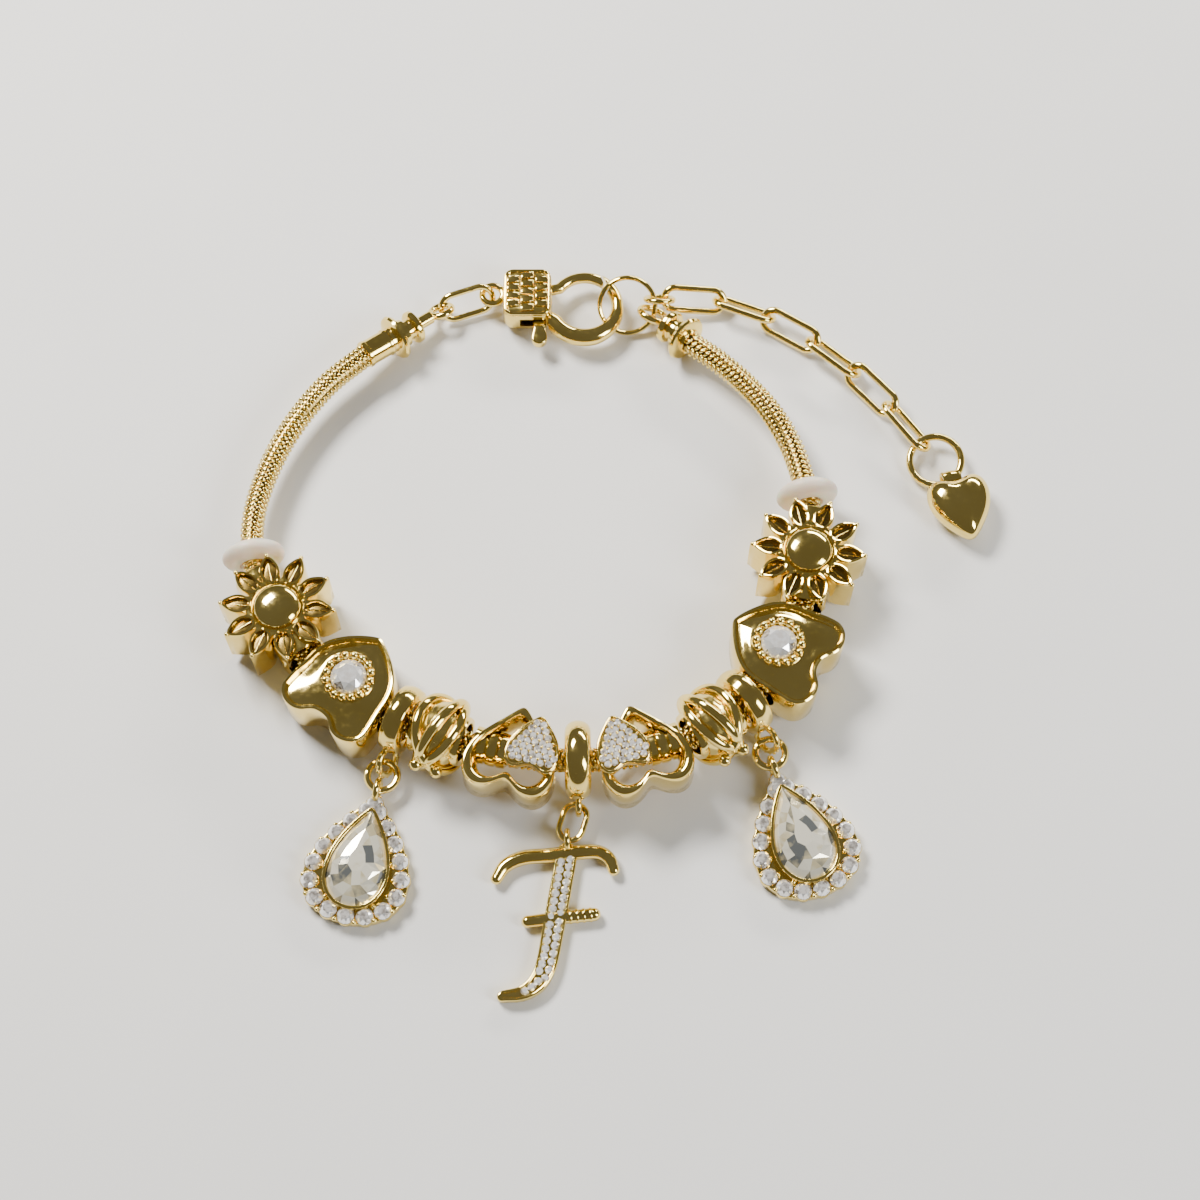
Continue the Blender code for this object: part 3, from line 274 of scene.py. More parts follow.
def heart_outline(width: float, length: float, count: int, power: float, fill: float) -> list[Vector]:
    """A heart with its tip at +Y and its notch at -Y.

    Args:
        width: its size along X.
        length: its size along Y.
        count: the number of its points.
        power: how sharp the tip is.
        fill: how far the notch is filled, as a share of the length.

    Returns:
        The outline.
    """
    middle, span, notch = 2.5, 29, 0.55
    points = []
    for index in range(count):
        turn = 2 * math.pi * (index + 0.5) / count
        across = math.copysign(abs(math.sin(turn)) ** power, math.sin(turn))
        along = 13 * math.cos(turn) - 5 * math.cos(2 * turn) - 2 * math.cos(3 * turn) - math.cos(4 * turn)
        lift = fill * sum(math.exp(-((angle / notch) ** 2)) for angle in (turn, 2 * math.pi - turn))
        points.append(Vector((across * width / 2, -((along + middle) / span + lift) * length, 0.0)))
    return points


def pear_outline(width: float, length: float, count: int) -> list[Vector]:
    """A pear with its point at +Y, centred on its own length.

    Args:
        width: its size along X.
        length: its size along Y.
        count: the number of its points.

    Returns:
        The outline.
    """
    narrowing, widest = 0.9, 0.79
    points = []
    for index in range(count):
        turn = 2 * math.pi * index / count
        across = math.sin(turn) * math.sin(turn / 2) ** narrowing / widest
        points.append(Vector((across * width / 2, math.cos(turn) * length / 2, 0.0)))
    return points


def rounded(outline: Line, per_span: int = 4) -> list[Vector]:
    """A closed smooth curve through the points of an outline.

    Args:
        outline: the points.
        per_span: how many points take the place of each.

    Returns:
        The smooth outline.
    """
    points = []
    for index in range(len(outline)):
        four = [outline[(index + step) % len(outline)] for step in (-1, 0, 1, 2)]
        points += [between(*four, step / per_span) for step in range(per_span)]
    return points


def softened(outline: Line, passes: int) -> list[Vector]:
    """A closed outline whose corners are worn round.

    Args:
        outline: the sharp outline.
        passes: how often each point is drawn towards its neighbours.

    Returns:
        The worn outline, its points at equal distances.
    """
    line = spaced(outline, len(outline))
    for _ in range(passes):
        beside = zip([line[-1], *line[:-1]], line, [*line[1:], line[0]])
        line = [(before + point * 2 + after) / 4 for before, point, after in beside]
    return line


def inset(outline: Line, distance: float) -> list[Vector]:
    """An outline moved inwards.

    Args:
        outline: the closed outline.
        distance: how far it moves; a negative distance moves it outwards.

    Returns:
        The moved outline.
    """
    area = sum(a.x * b.y - b.x * a.y for a, b in zip(outline, [*outline[1:], outline[0]]))
    side = 1.0 if area > 0 else -1.0
    moved = []
    for index, point in enumerate(outline):
        along = (outline[(index + 1) % len(outline)] - outline[index - 1]).normalized()
        moved.append(point + aside(along) * distance * side)
    return moved


def raised(outline: Line, height: float) -> list[Vector]:
    """An outline set at a height."""
    return [Vector((*point.xy, height)) for point in outline]


def lifted(outline: Line, height: float, share: float) -> list[Vector]:
    """An outline scaled about its own centre by a share and set at a height."""
    centre = sum(outline, Vector()) / len(outline)
    return [Vector((*(centre + (point - centre) * share).xy, height)) for point in outline]


def inside(point: Vector, outline: Line) -> bool:
    """Whether a point lies inside an outline.

    Args:
        point: the point.
        outline: the closed outline.

    Returns:
        True where a ray from the point crosses the outline an odd number of times.
    """
    crossings = 0
    for first, second in zip(outline, [*outline[1:], outline[0]]):
        if (first.y > point.y) != (second.y > point.y):
            share = (point.y - first.y) / (second.y - first.y)
            crossings += point.x < first.x + share * (second.x - first.x)
    return crossings % 2 == 1


def spaced(outline: Line, count: int, shift: float = 0.0) -> list[Vector]:
    """Points at equal distances round an outline.

    Args:
        outline: the closed outline.
        count: the number of points.
        shift: how far each moves on, as a share of their distance.

    Returns:
        The points.
    """
    line = [*outline, outline[0]]
    reach = np.concatenate(([0.0], np.cumsum([(b - a).length for a, b in zip(line, line[1:])])))
    wanted = [(index + shift) * reach[-1] / count for index in range(count)]
    axes = [[point[axis] for point in line] for axis in range(3)]
    return [Vector([float(np.interp(place, reach, values)) for values in axes]) for place in wanted]


class Bench:
    """The modelling steps that every sub-assembly uses, in millimetres until a piece is placed."""

    @staticmethod
    def pick(*pieces: Piece) -> None:
        """Selects pieces, the first as the active one.

        Args:
            pieces: the pieces.
        """
        if bpy.context.object and bpy.context.object.mode != "OBJECT":
            bpy.ops.object.mode_set(mode="OBJECT")
        bpy.ops.object.select_all(action="DESELECT")
        for piece in pieces:
            piece.select_set(True)
        if pieces:
            bpy.context.view_layer.objects.active = pieces[0]

    @staticmethod
    def add(name: str, data: bpy.types.ID) -> Piece:
        """A new object in the scene from its data.

        Args:
            name: the new piece's name.
            data: its mesh, curve, light or camera.

        Returns:
            The piece.
        """
        piece = bpy.data.objects.new(name, data)
        bpy.context.scene.collection.objects.link(piece)
        return piece

    @classmethod
    def shape(cls, name: str, points: Sequence[Sequence[float]], edges: Sequence, faces: Sequence) -> Piece:
        """A new mesh object from points, edges and faces.

        Args:
            name: the new piece's name.
            points: its points.
            edges: pairs of point numbers.
            faces: rows of point numbers.

        Returns:
            The piece.
        """
        mesh = bpy.data.meshes.new(name)
        mesh.from_pydata([tuple(point) for point in points], edges, faces)
        return cls.add(name, mesh)

    @classmethod
    def closed(cls, piece: Piece) -> Piece:
        """Merges a piece's doubles and turns its faces outwards.

        Args:
            piece: the piece.

        Returns:
            The piece.
        """
        cls.pick(piece)
        bpy.ops.object.mode_set(mode="EDIT")
        bpy.ops.mesh.select_all(action="SELECT")
        bpy.ops.mesh.remove_doubles(threshold=0.0005)
        bpy.ops.mesh.normals_make_consistent(inside=False)
        bpy.ops.object.mode_set(mode="OBJECT")
        return piece

    @classmethod
    def traced(
        cls, name: str, lines: Sequence[Line], ring: bool, shares: Shares, **settings: Any
    ) -> Piece:
        """A mesh from lines drawn on a curve.

        Args:
            name: the piece's name.
            lines: the curve's lines.
            ring: whether each line closes on itself.
            shares: the bevel at each point as a share of the whole, if it changes.
            settings: the curve's own settings.

        Returns:
            The curve as a mesh object.
        """
        curve = bpy.data.curves.new(name, "CURVE")
        for setting, value in settings.items():
            setattr(curve, setting, value)
        for line in lines:
            spline = curve.splines.new("POLY")
            spline.points.add(len(line) - 1)
            spline.use_cyclic_u = ring
            for index, point in enumerate(line):
                spline.points[index].co = (*point, 1.0)
                spline.points[index].radius = shares[index] if shares else 1.0
        cls.pick(cls.add(name, curve))
        bpy.ops.object.convert(target="MESH")
        return bpy.context.object

    @classmethod
    def tube(
        cls,
        name: str,
        points: Line,
        radius: float,
        ring: bool = False,
        sides: int = 12,
        shares: Shares = None,
    ) -> Piece:
        """A round wire through points.

        Args:
            name: the piece's name.
            points: the wire's centre line.
            radius: the wire's radius.
            ring: whether the wire closes on itself.
            sides: the number of its sides, an even one.
            shares: the radius at each point as a share of the whole radius.

        Returns:
            The wire.
        """
        settings = {"bevel_depth": radius, "bevel_resolution": (sides - 4) // 2, "use_fill_caps": not ring}
        return cls.closed(cls.traced(name, [points], ring, shares, dimensions="3D", **settings))

    @classmethod
    def plate(cls, name: str, outlines: Sequence[Line], low: float, high: float, edge: float) -> Piece:
        """Flat outlines raised between two heights, with rounded edges.

        Args:
            name: the piece's name.
            outlines: the outlines; one inside another is a hole.
            low: the height of the underside.
            high: the height of the top.
            edge: the radius of the edges.

        Returns:
            The plate.
        """
        level_lines = [raised(outline, 0.0) for outline in outlines]
        settings = {"fill_mode": "BOTH", "extrude": (high - low) / 2 - edge}
        settings |= {"bevel_depth": edge, "bevel_resolution": 2, "offset": -edge}
        piece = cls.traced(name, level_lines, True, None, dimensions="2D", **settings)
        return cls.closed(cls.move(piece, Matrix.Translation((0, 0, (low + high) / 2))))

    @classmethod
    def turned(cls, name: str, profile: Sequence[tuple[float, float]], steps: int = 48) -> Piece:
        """A profile spun round the X axis.

        Args:
            name: the piece's name.
            profile: pairs of a radius and a place along X.
            steps: the number of sides.

        Returns:
            The turned piece.
        """
        points = [(along, 0.0, radius) for radius, along in profile]
        piece = cls.shape(name, points, [(index, index + 1) for index in range(len(points) - 1)], [])
        cls.pick(piece)
        bpy.ops.object.mode_set(mode="EDIT")
        bpy.ops.mesh.select_all(action="SELECT")
        bpy.ops.mesh.spin(steps=steps, angle=2 * math.pi, center=(0, 0, 0), axis=(1, 0, 0))
        bpy.ops.object.mode_set(mode="OBJECT")
        return cls.closed(piece)

    @classmethod
    def loft(cls, name: str, rings: Sequence[Line], ring: bool = False) -> Piece:
        """A skin through rings of as many points each.

        Args:
            name: the piece's name.
            rings: the rings.
            ring: whether the skin closes on its first ring instead of with flat ends.

        Returns:
            The skin.
        """
        count = len(rings[0])
        rows = len(rings)
        faces: list[tuple[int, ...]] = []
        for row in range(rows if ring else rows - 1):
            here = row * count
            there = (row + 1) % rows * count
            for index in range(count):
                beside = (index + 1) % count
                faces.append((here + index, here + beside, there + beside, there + index))
        if not ring:
            faces.append(tuple(range(count)))
            faces.append(tuple(range((rows - 1) * count, rows * count)))
        return cls.closed(cls.shape(name, [point for row in rings for point in row], [], faces))

    @classmethod
    def gem(cls, name: str, points: Iterable[Vector]) -> Piece:
        """A cut stone: the flat-faced hull of its corners.

        Args:
            name: the new piece's name.
            points: its points.

        Returns:
            The piece.
        """
        piece = cls.shape(name, list(points), [], [])
        cls.pick(piece)
        bpy.ops.object.mode_set(mode="EDIT")
        bpy.ops.mesh.select_all(action="SELECT")
        bpy.ops.mesh.convex_hull()
        bpy.ops.object.mode_set(mode="OBJECT")
        return piece

    @staticmethod
    def facet(piece: Piece) -> Piece:
        """Marks each flat facet with its own painted brightness, a painted sparkle of light and shade, the
        same for faces that lie in one plane.

        Args:
            piece: the cut stone.

        Returns:
            The piece, with a value from nought to one on each face.
        """
        marks = []
        for polygon in piece.data.polygons:
            lie = polygon.normal.x * 12.9 + polygon.normal.y * 7.7 + polygon.normal.z * 3.1
            spot = polygon.center.dot(polygon.normal) * 2.3
            marks.append(abs(math.sin(round(lie, 1) * 3.7 + round(spot, 1) * 5.1)))
        layer = piece.data.attributes.new(SPARKLE_ATTRIBUTE, "FLOAT", "FACE")
        layer.data.foreach_set("value", marks)
        return piece

    @classmethod
    def ball(cls, name: str, radius: float, segments: int = 12, rings: int = 8) -> Piece:
        """A round grain at the origin.

        Args:
            name: the new piece's name.
            radius: its radius.
            segments: the number of its sides.
            rings: the number of its bands.

        Returns:
            The piece.
        """
        cls.pick()
        bpy.ops.mesh.primitive_uv_sphere_add(segments=segments, ring_count=rings, radius=radius)
        bpy.context.object.name = name
        return bpy.context.object

    @classmethod
    def scatter(cls, name: str, pattern: Piece, frames: Sequence[Matrix]) -> Piece:
        """One mesh that repeats a pattern piece.

        Args:
            name: the new piece's name.
            pattern: the piece to repeat, which is used up.
            frames: where each copy lies.

        Returns:
            The new piece, with facets marked if the pattern's are.
        """
        count = len(pattern.data.vertices)
        base = np.ones((count, 4))
        flat = np.empty(count * 3)
        pattern.data.vertices.foreach_get("co", flat)
        base[:, :3] = flat.reshape(-1, 3)
        points = np.concatenate([(base @ np.array(frame).T)[:, :3] for frame in frames])
        polygons = [tuple(polygon.vertices) for polygon in pattern.data.polygons]
        faces = []
        for start in range(0, len(frames) * count, count):
            faces += [tuple(corner + start for corner in face) for face in polygons]
        marked = SPARKLE_ATTRIBUTE in pattern.data.attributes
        bpy.data.objects.remove(pattern)
        piece = cls.shape(name, points.tolist(), [], faces)
        return cls.facet(piece) if marked else piece

    @classmethod
    def modify(cls, piece: Piece, kind: str, **settings: Any) -> Piece:
        """Adds a modifier with its settings and applies it.

        Args:
            piece: the piece.
            kind: the modifier's type.
            settings: the modifier's settings.

        Returns:
            The piece.
        """
        cls.pick(piece)
        step = piece.modifiers.new(kind.title(), kind)
        for setting, value in settings.items():
            setattr(step, setting, value)
        bpy.ops.object.modifier_apply(modifier=step.name)
        return piece

    @classmethod
    def cut(cls, piece: Piece, tool: Piece) -> Piece:
        """Cuts a tool out of a piece and removes the tool.

        Args:
            piece: the piece.
            tool: the cutter, which is used up.

        Returns:
            The piece.
        """
        cls.modify(piece, "BOOLEAN", operation="DIFFERENCE", object=tool, solver="EXACT")
        bpy.data.objects.remove(tool)
        return piece

    @classmethod
    def bored(cls, piece: Piece, reach: float, shift: float = 0.0) -> Piece:
        """Cuts the chain's way through a piece.

        Args:
            piece: the piece, with the chain along X.
            reach: how far the cutter stands out to both sides.
            shift: how far the way lies towards +Y.

        Returns:
            The bored piece.
        """
        profile = [(0.0, -reach), (BORE, -reach), (BORE, reach), (0.0, reach)]
        way = cls.turned("way", profile, 32)
        return cls.cut(piece, cls.move(way, Matrix.Translation((0, shift, 0))))

    @classmethod
    def collar(cls, name: str, side: int, lip: Sequence[tuple[float, float]]) -> Piece:
        """A turned collar at one end of a bead, its profile mirrored to that side."""
        profile = [(radius, side * along) for radius, along in lip]
        return cls.turned(f"{name}_collar_{side + 2}", [*profile, profile[0]], 48)

    @classmethod
    def join(cls, name: str, *pieces: Piece) -> Piece:
        """Joins pieces into one object.

        Args:
            name: the new piece's name.
            pieces: the pieces.

        Returns:
            The piece.
        """
        cls.pick(*pieces)
        if len(pieces) > 1:
            bpy.ops.object.join()
        pieces[0].name = name
        return pieces[0]

    @classmethod
    def smooth(cls, piece: Piece, angle: float = 38.0) -> Piece:
        """Shades a piece smooth up to an angle in degrees.

        Args:
            piece: the piece.
            angle: the sharpest edge that is still shaded smooth, in degrees.

        Returns:
            The piece.
        """
        cls.pick(piece)
        bpy.ops.object.shade_smooth_by_angle(angle=math.radians(angle))
        return piece

    @staticmethod
    def move(piece: Piece, frame: Matrix) -> Piece:
        """Moves a piece's mesh by a frame in millimetres."""
        piece.data.transform(frame)
        return piece


class Signal:
    """A shader socket that takes Python arithmetic."""

    def __init__(self, recipe: "Recipe", socket: bpy.types.NodeSocket) -> None:
        """Wraps a socket of a recipe's node."""
        self.recipe = recipe
        self.socket = socket

    def _math(self, operation: str, first: Any, second: Any) -> "Signal":
        """The result of one Math node."""
        node = self.recipe.node("ShaderNodeMath", {"operation": operation}, {0: first, 1: second})
        return Signal(self.recipe, node.outputs[0])

    def __add__(self, other: Any) -> "Signal":
        """The sum."""
        return self._math("ADD", self, other)

    __radd__ = __add__

    def __mul__(self, other: Any) -> "Signal":
        """The product."""
        return self._math("MULTIPLY", self, other)

    __rmul__ = __mul__


class Recipe:
    """One material and the nodes that make it."""

    def __init__(self, name: str) -> None:
        """Starts a material with only its surface shader.

        Args:
            name: the new piece's name.
        """
        self.material = bpy.data.materials.new(name)
        self.material.use_nodes = True
        self.tree = self.material.node_tree
        self.shader = self.tree.nodes["Principled BSDF"]
        self.place = self.node("ShaderNodeTexCoord", {}, {}).outputs["Object"]

    def node(self, kind: str, settings: dict[str, Any], inputs: dict[Any, Any]) -> bpy.types.Node:
        """Adds a node.

        Args:
            kind: the node's type.
            settings: its properties, which are set first.
            inputs: values, sockets or signals for its inputs, by name or index.

        Returns:
            The new node.
        """
        node = self.tree.nodes.new(kind)
        for setting, value in settings.items():
            setattr(node, setting, value)
        for key, value in inputs.items():
            self.feed(node.inputs[key], value)
        return node

    def feed(self, socket: bpy.types.NodeSocket, value: Any) -> None:
        """Links a signal or socket to an input, or sets a plain value on it.

        Args:
            socket: the input.
            value: a signal, a socket or a plain value.
        """
        if isinstance(value, Signal):
            value = value.socket
        if isinstance(value, bpy.types.NodeSocket):
            self.tree.links.new(value, socket)
        else:
            socket.default_value = value

    def noise(self, grain: float, detail: float = 2.0, stretch: Sequence[float] = (1, 1, 1)) -> Signal:
        """Soft noise on the piece's own place.

        Args:
            grain: the size of its grain in millimetres.
            detail: how many finer layers it has.
            stretch: how far it is stretched along each axis.

        Returns:
            The noise, from nought to one.
        """
        scale = tuple(1 / share for share in stretch)
        mapping = self.node("ShaderNodeMapping", {}, {"Vector": self.place, "Scale": scale})
        inputs = {"Vector": mapping.outputs[0], "Scale": 1 / (grain * MM), "Detail": detail}
        return Signal(self, self.node("ShaderNodeTexNoise", {}, inputs).outputs["Fac"])

    def mark(self, name: str) -> Signal:
        """A value that the piece's own faces carry."""
        return Signal(self, self.node("ShaderNodeAttribute", {"attribute_name": name}, {}).outputs["Fac"])

    def ramp(self, value: Any, low: float, high: float) -> Signal:
        """A value stretched so that a low and a high become nought and one."""
        inputs = {"Value": value, "From Min": low, "From Max": high}
        return Signal(self, self.node("ShaderNodeMapRange", {"clamp": True}, inputs).outputs[0])

    def blend(self, share: Any, first: Any, second: Any) -> Signal:
        """A colour between two colours."""
        node = self.node("ShaderNodeMix", {"data_type": "RGBA"}, {0: share, 6: first, 7: second})
        return Signal(self, node.outputs[2])

    def bump(self, height: Signal, strength: float, depth: float) -> Signal:
        """A bump from a height signal; the depth is in millimetres."""
        inputs = {"Strength": strength, "Distance": depth * MM, "Height": height}
        return Signal(self, self.node("ShaderNodeBump", {}, inputs).outputs[0])

    def surface(self, **inputs: Any) -> bpy.types.Material:
        """Sets the shader's inputs, spaces written as underscores, and returns the material.

        Args:
            inputs: the inputs by name.

        Returns:
            The material.
        """
        for name, value in inputs.items():
            self.feed(self.shader.inputs[name.replace("_", " ")], value)
        return self.material


@dataclass(frozen=True)
class Gold:
    """Polished gold plate: its colours, how sharp it mirrors and how uneven it is."""

    name: str
    light: Colour = (1.0, 0.78, 0.26, 1.0)
    deep: Colour = (0.84, 0.62, 0.15, 1.0)
    mirror: float = 0.05
    wear: float = 0.10
    relief: float = 0.006

    def make(self) -> bpy.types.Material:
        """The material: drifting colour, fine polishing marks and a barely uneven cast skin.

        Returns:
            The material.
        """
        recipe = Recipe(self.name)
        drift = recipe.ramp(recipe.noise(5.0), 0.32, 0.68)
        marks = recipe.noise(0.12, 3.0, (9.0, 1.0, 3.0))
        haze = recipe.ramp(recipe.noise(0.7, 4.0), 0.45, 0.75)
        tone = recipe.blend(drift * 0.6 + haze * 0.25, self.light, self.deep)
        rough = haze * self.wear + marks * 0.05 + self.mirror
        skin = recipe.noise(1.6) + marks * 0.12
        normal = recipe.bump(skin, 0.35, self.relief)
        return recipe.surface(Base_Color=tone, Roughness=rough, Metallic=1.0, Normal=normal)


@dataclass(frozen=True)
class Stone:
    """A cut stone: the bright, middle and dark colours painted on its facets as sparkle and shade, and how
    strongly it mirrors.
    """

    name: str
    bright: Colour
    middle: Colour
    dark: Colour
    mirror: float
    cloud: float
    shade: float = 0.0

    def make(self) -> bpy.types.Material:
        """The material: each facet has its own painted brightness, a painted sparkle of light and shade, a
        little clouded from within.

        Returns:
            The material.
        """
        recipe = Recipe(self.name)
        mark = recipe.mark(SPARKLE_ATTRIBUTE)
        depth = recipe.ramp(recipe.noise(self.cloud, 3.0), 0.35, 0.65)
        # Painted sparkle: the face value picks a bright, middle or dark colour for each facet, as if each
        # caught or missed the light.
        painted_sparkle = mark * 0.75 + depth * 0.25
        low = recipe.blend(recipe.ramp(painted_sparkle, 0.12 + self.shade, 0.36 + self.shade), self.dark, self.middle)
        tone = recipe.blend(recipe.ramp(painted_sparkle, 0.42 + self.shade, 0.62 + self.shade), low, self.bright)
        return recipe.surface(
            Base_Color=tone,
            Roughness=depth * 0.06 + 0.03,
            Metallic=self.mirror,
            IOR=2.2,
            Coat_Weight=1.0,
            Coat_Roughness=0.02,
        )


@dataclass(frozen=True)
class Silicone:
    """Soft translucent silicone."""

    name: str
    milk: Colour = (0.96, 0.89, 0.78, 1.0)
    blush: Colour = (0.93, 0.79, 0.64, 1.0)

    def make(self) -> bpy.types.Material:
        """The material: a clouded body with a satin skin and fine dust marks.

        Returns:
            The material.
        """
        recipe = Recipe(self.name)
        cloud = recipe.ramp(recipe.noise(2.4, 3.0), 0.3, 0.7)
        skin = recipe.noise(0.18, 3.0)
        tone = recipe.blend(cloud * 0.7, self.milk, self.blush)
        return recipe.surface(
            Base_Color=tone,
            Roughness=skin * 0.18 + 0.3,
            Subsurface_Weight=0.5,
            Subsurface_Scale=0.0015,
            Transmission_Weight=0.4,
            Normal=recipe.bump(skin, 0.25, 0.01),
        )


@dataclass(frozen=True)
class Ground:
    """The pale surface under the bracelet."""

    name: str = "pale_ground"
    pale: Colour = (0.74, 0.73, 0.71, 1.0)
    shade: Colour = (0.69, 0.68, 0.66, 1.0)

    def make(self) -> bpy.types.Material:
        """The material: matt card with a fine tooth.

        Returns:
            The material.
        """
        recipe = Recipe(self.name)
        tooth = recipe.noise(0.5, 5.0)
        tone = recipe.blend(recipe.noise(30.0), self.pale, self.shade)
        normal = recipe.bump(tooth, 0.15, 0.02)
        return recipe.surface(Base_Color=tone, Roughness=tooth * 0.2 + 0.6, Normal=normal)


class Look(Enum):
    """The finishes of the bracelet, each with the record's slot that it belongs to."""

    POLISHED = ("gold", Gold("polished_gold"))
    CAST = ("gold", Gold("cast_gold", mirror=0.11, wear=0.18, relief=0.014))
    CHAIN = ("gold", Gold("chain_gold", light=(1.0, 0.80, 0.30, 1.0), mirror=0.08, relief=0.004))
    # Gold painted dark as shade: the chain's core between the scales and the sunken petal floors are coloured
    # as if in shadow.
    RECESS = (
        "gold",
        Gold("painted_shade_gold", light=(0.40, 0.27, 0.07, 1.0), deep=(0.20, 0.13, 0.03, 1.0), mirror=0.16),
    )
    # The brilliants' bright and dark facets are painted sparkle and shade; the stones themselves are clear.
    BRILLIANT = (
        "clear_stone",
        Stone(
            "clear_brilliant",
            bright=(1.0, 1.0, 1.0, 1.0),
            middle=(0.86, 0.82, 0.78, 1.0),
            dark=(0.20, 0.17, 0.14, 1.0),
            mirror=0.55,
            cloud=0.5,
        ),
    )
    # The pear's champagne middle colour is its own tint; its bright and dark facets are painted reflections.
    PEAR = (
        "pear_stone",
        Stone(
            "champagne_pear",
            bright=(1.0, 0.95, 0.78, 1.0),
            middle=(0.76, 0.66, 0.40, 1.0),
            dark=(0.15, 0.16, 0.16, 1.0),
            mirror=0.5,
            cloud=1.6,
            shade=0.1,
        ),
    )
    SOFT = ("silicone", Silicone("milky_silicone"))


class Finishes:
    """Makes each finish once and dresses pieces in it."""

    def __init__(self) -> None:
        """Makes every material."""
        self.made = {look: look.value[1].make() for look in Look}

    def dress(self, piece: Piece, look: Look, frame: Matrix, angle: float = 38.0, body: str = BODY) -> Piece:
        """Shades a piece, takes it to its place in metres and hands it to its body.

        Args:
            piece: the piece, in millimetres round its own origin.
            look: its finish.
            frame: its place in millimetres.
            angle: the sharpest edge that is still shaded smooth; nought keeps facets.
            body: the body that it rides on.

        Returns:
            The placed piece.
        """
        if angle:
            Bench.smooth(piece, angle)
        piece.data.transform(Matrix.Scale(MM, 4) @ frame)
        piece.data.materials.clear()
        piece.data.materials.append(self.made[look])
        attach(piece, body)
        LOG.info("%s: %d faces in %s", piece.name, len(piece.data.polygons), look.name.lower())
        return piece

    def polish(self, piece: Piece, frame: Matrix, angle: float = 38.0, body: str = BODY) -> Piece:
        """Dresses a piece in polished gold."""
        return self.dress(piece, Look.POLISHED, frame, angle, body)

    def grains(self, name: str, ball: Triple, frames: Sequence[Matrix], frame: Matrix) -> None:
        """Dresses polished balls of a radius, segments and rings, one at each of some frames."""
        self.polish(Bench.scatter(name, Bench.ball("grain", *ball), frames), frame, 60)

    def stones(self, name: str, size: tuple[float, float], places: Sequence[Vector], frame: Matrix) -> None:
        """Dresses small brilliants of a radius and a height, one at each of some places."""
        self.dress(Bench.scatter(name, brilliant("stone", *size), facing(places)), Look.BRILLIANT, frame, 0)


def brilliant(name: str, radius: float, height: float) -> Piece:
    """A round brilliant with an eight-sided table, kite facets, a girdle and a short pavilion.

    Args:
        name: the new piece's name.
        radius: its radius.
        height: its height.

    Returns:
        The piece.
    """
    corners = circle(radius * 0.56, 8, height)
    corners += circle(radius * 0.84, 8, height * 0.66, math.pi / 8)
    corners += circle(radius, 16, height * 0.36)
    corners += circle(radius, 16, height * 0.30)
    corners += circle(radius * 0.5, 8, 0.0)
    return Bench.facet(Bench.gem(name, corners))


def facing(places: Line, spin: float = 0.7) -> list[Matrix]:
    """Frames for small repeated pieces, each turned a little more than the last."""
    turns = [Matrix.Rotation(index * spin, 4, "Z") for index in range(len(places))]
    return [Matrix.Translation(place) @ turn for place, turn in zip(places, turns)]


@dataclass
class SnakeChain:
    """The round chain: a core painted dark as the shade between the scales, under columns of plump scales
    that slant to and fro.
    """

    route: Route
    radius: float = 1.5
    pitch: float = 0.34
    around: int = 4
    scale_size: Triple = (0.26, 0.55, 0.40)
    slant: float = 24.0
    twist: float = 2.2
    tilt: float = 20.0
    tucked: float = 0.8
    core_depth: float = 0.26
    core_points: int = 240

    def core(self) -> Piece:
        """The smooth inner cord, tucked into both end caps.

        Returns:
            The piece.
        """
        whole = self.route.length + 2 * self.tucked
        last = self.core_points - 1
        points = [self.route.at(whole * index / last - self.tucked) for index in range(self.core_points)]
        return Bench.tube("chain_core", points, self.radius - self.core_depth, sides=16)

    def scales(self) -> Piece:
        """Rows of scales, each row turned half a step from the last.

        Returns:
            The piece.
        """
        whole = self.route.length + 2 * self.tucked
        rows = int(whole / self.pitch)
        spot = Matrix.Translation((0, 0, self.radius - self.scale_size[2]))
        lean = Matrix.Rotation(math.radians(-self.tilt), 4, "Y")
        size = Matrix.Diagonal((*self.scale_size, 1.0))
        frames = []
        for row in range(rows):
            distance = (row + 0.5) * whole / rows - self.tucked
            frame = self.route.frame(distance, self.pitch / 2)
            slant = Matrix.Rotation(math.radians(self.slant if row % 2 else -self.slant), 4, "Z")
            for index in range(self.around):
                turn = 2 * math.pi * (index + 0.5 * (row % 2)) / self.around
                turn += math.radians(self.twist * distance)
                frames.append(frame @ Matrix.Rotation(turn, 4, "X") @ spot @ slant @ lean @ size)
        return Bench.scatter("chain_scales", Bench.ball("chain_scales", 1.0, 10, 6), frames)

    def build(self, finishes: Finishes) -> None:
        """Builds the chain in place of the plain tube.

        Args:
            finishes: the materials.
        """
        still = Matrix.Identity(4)
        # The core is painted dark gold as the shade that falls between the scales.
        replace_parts(finishes.dress(self.core(), Look.RECESS, still), "snake_chain")
        finishes.dress(self.scales(), Look.CHAIN, still, angle=60)


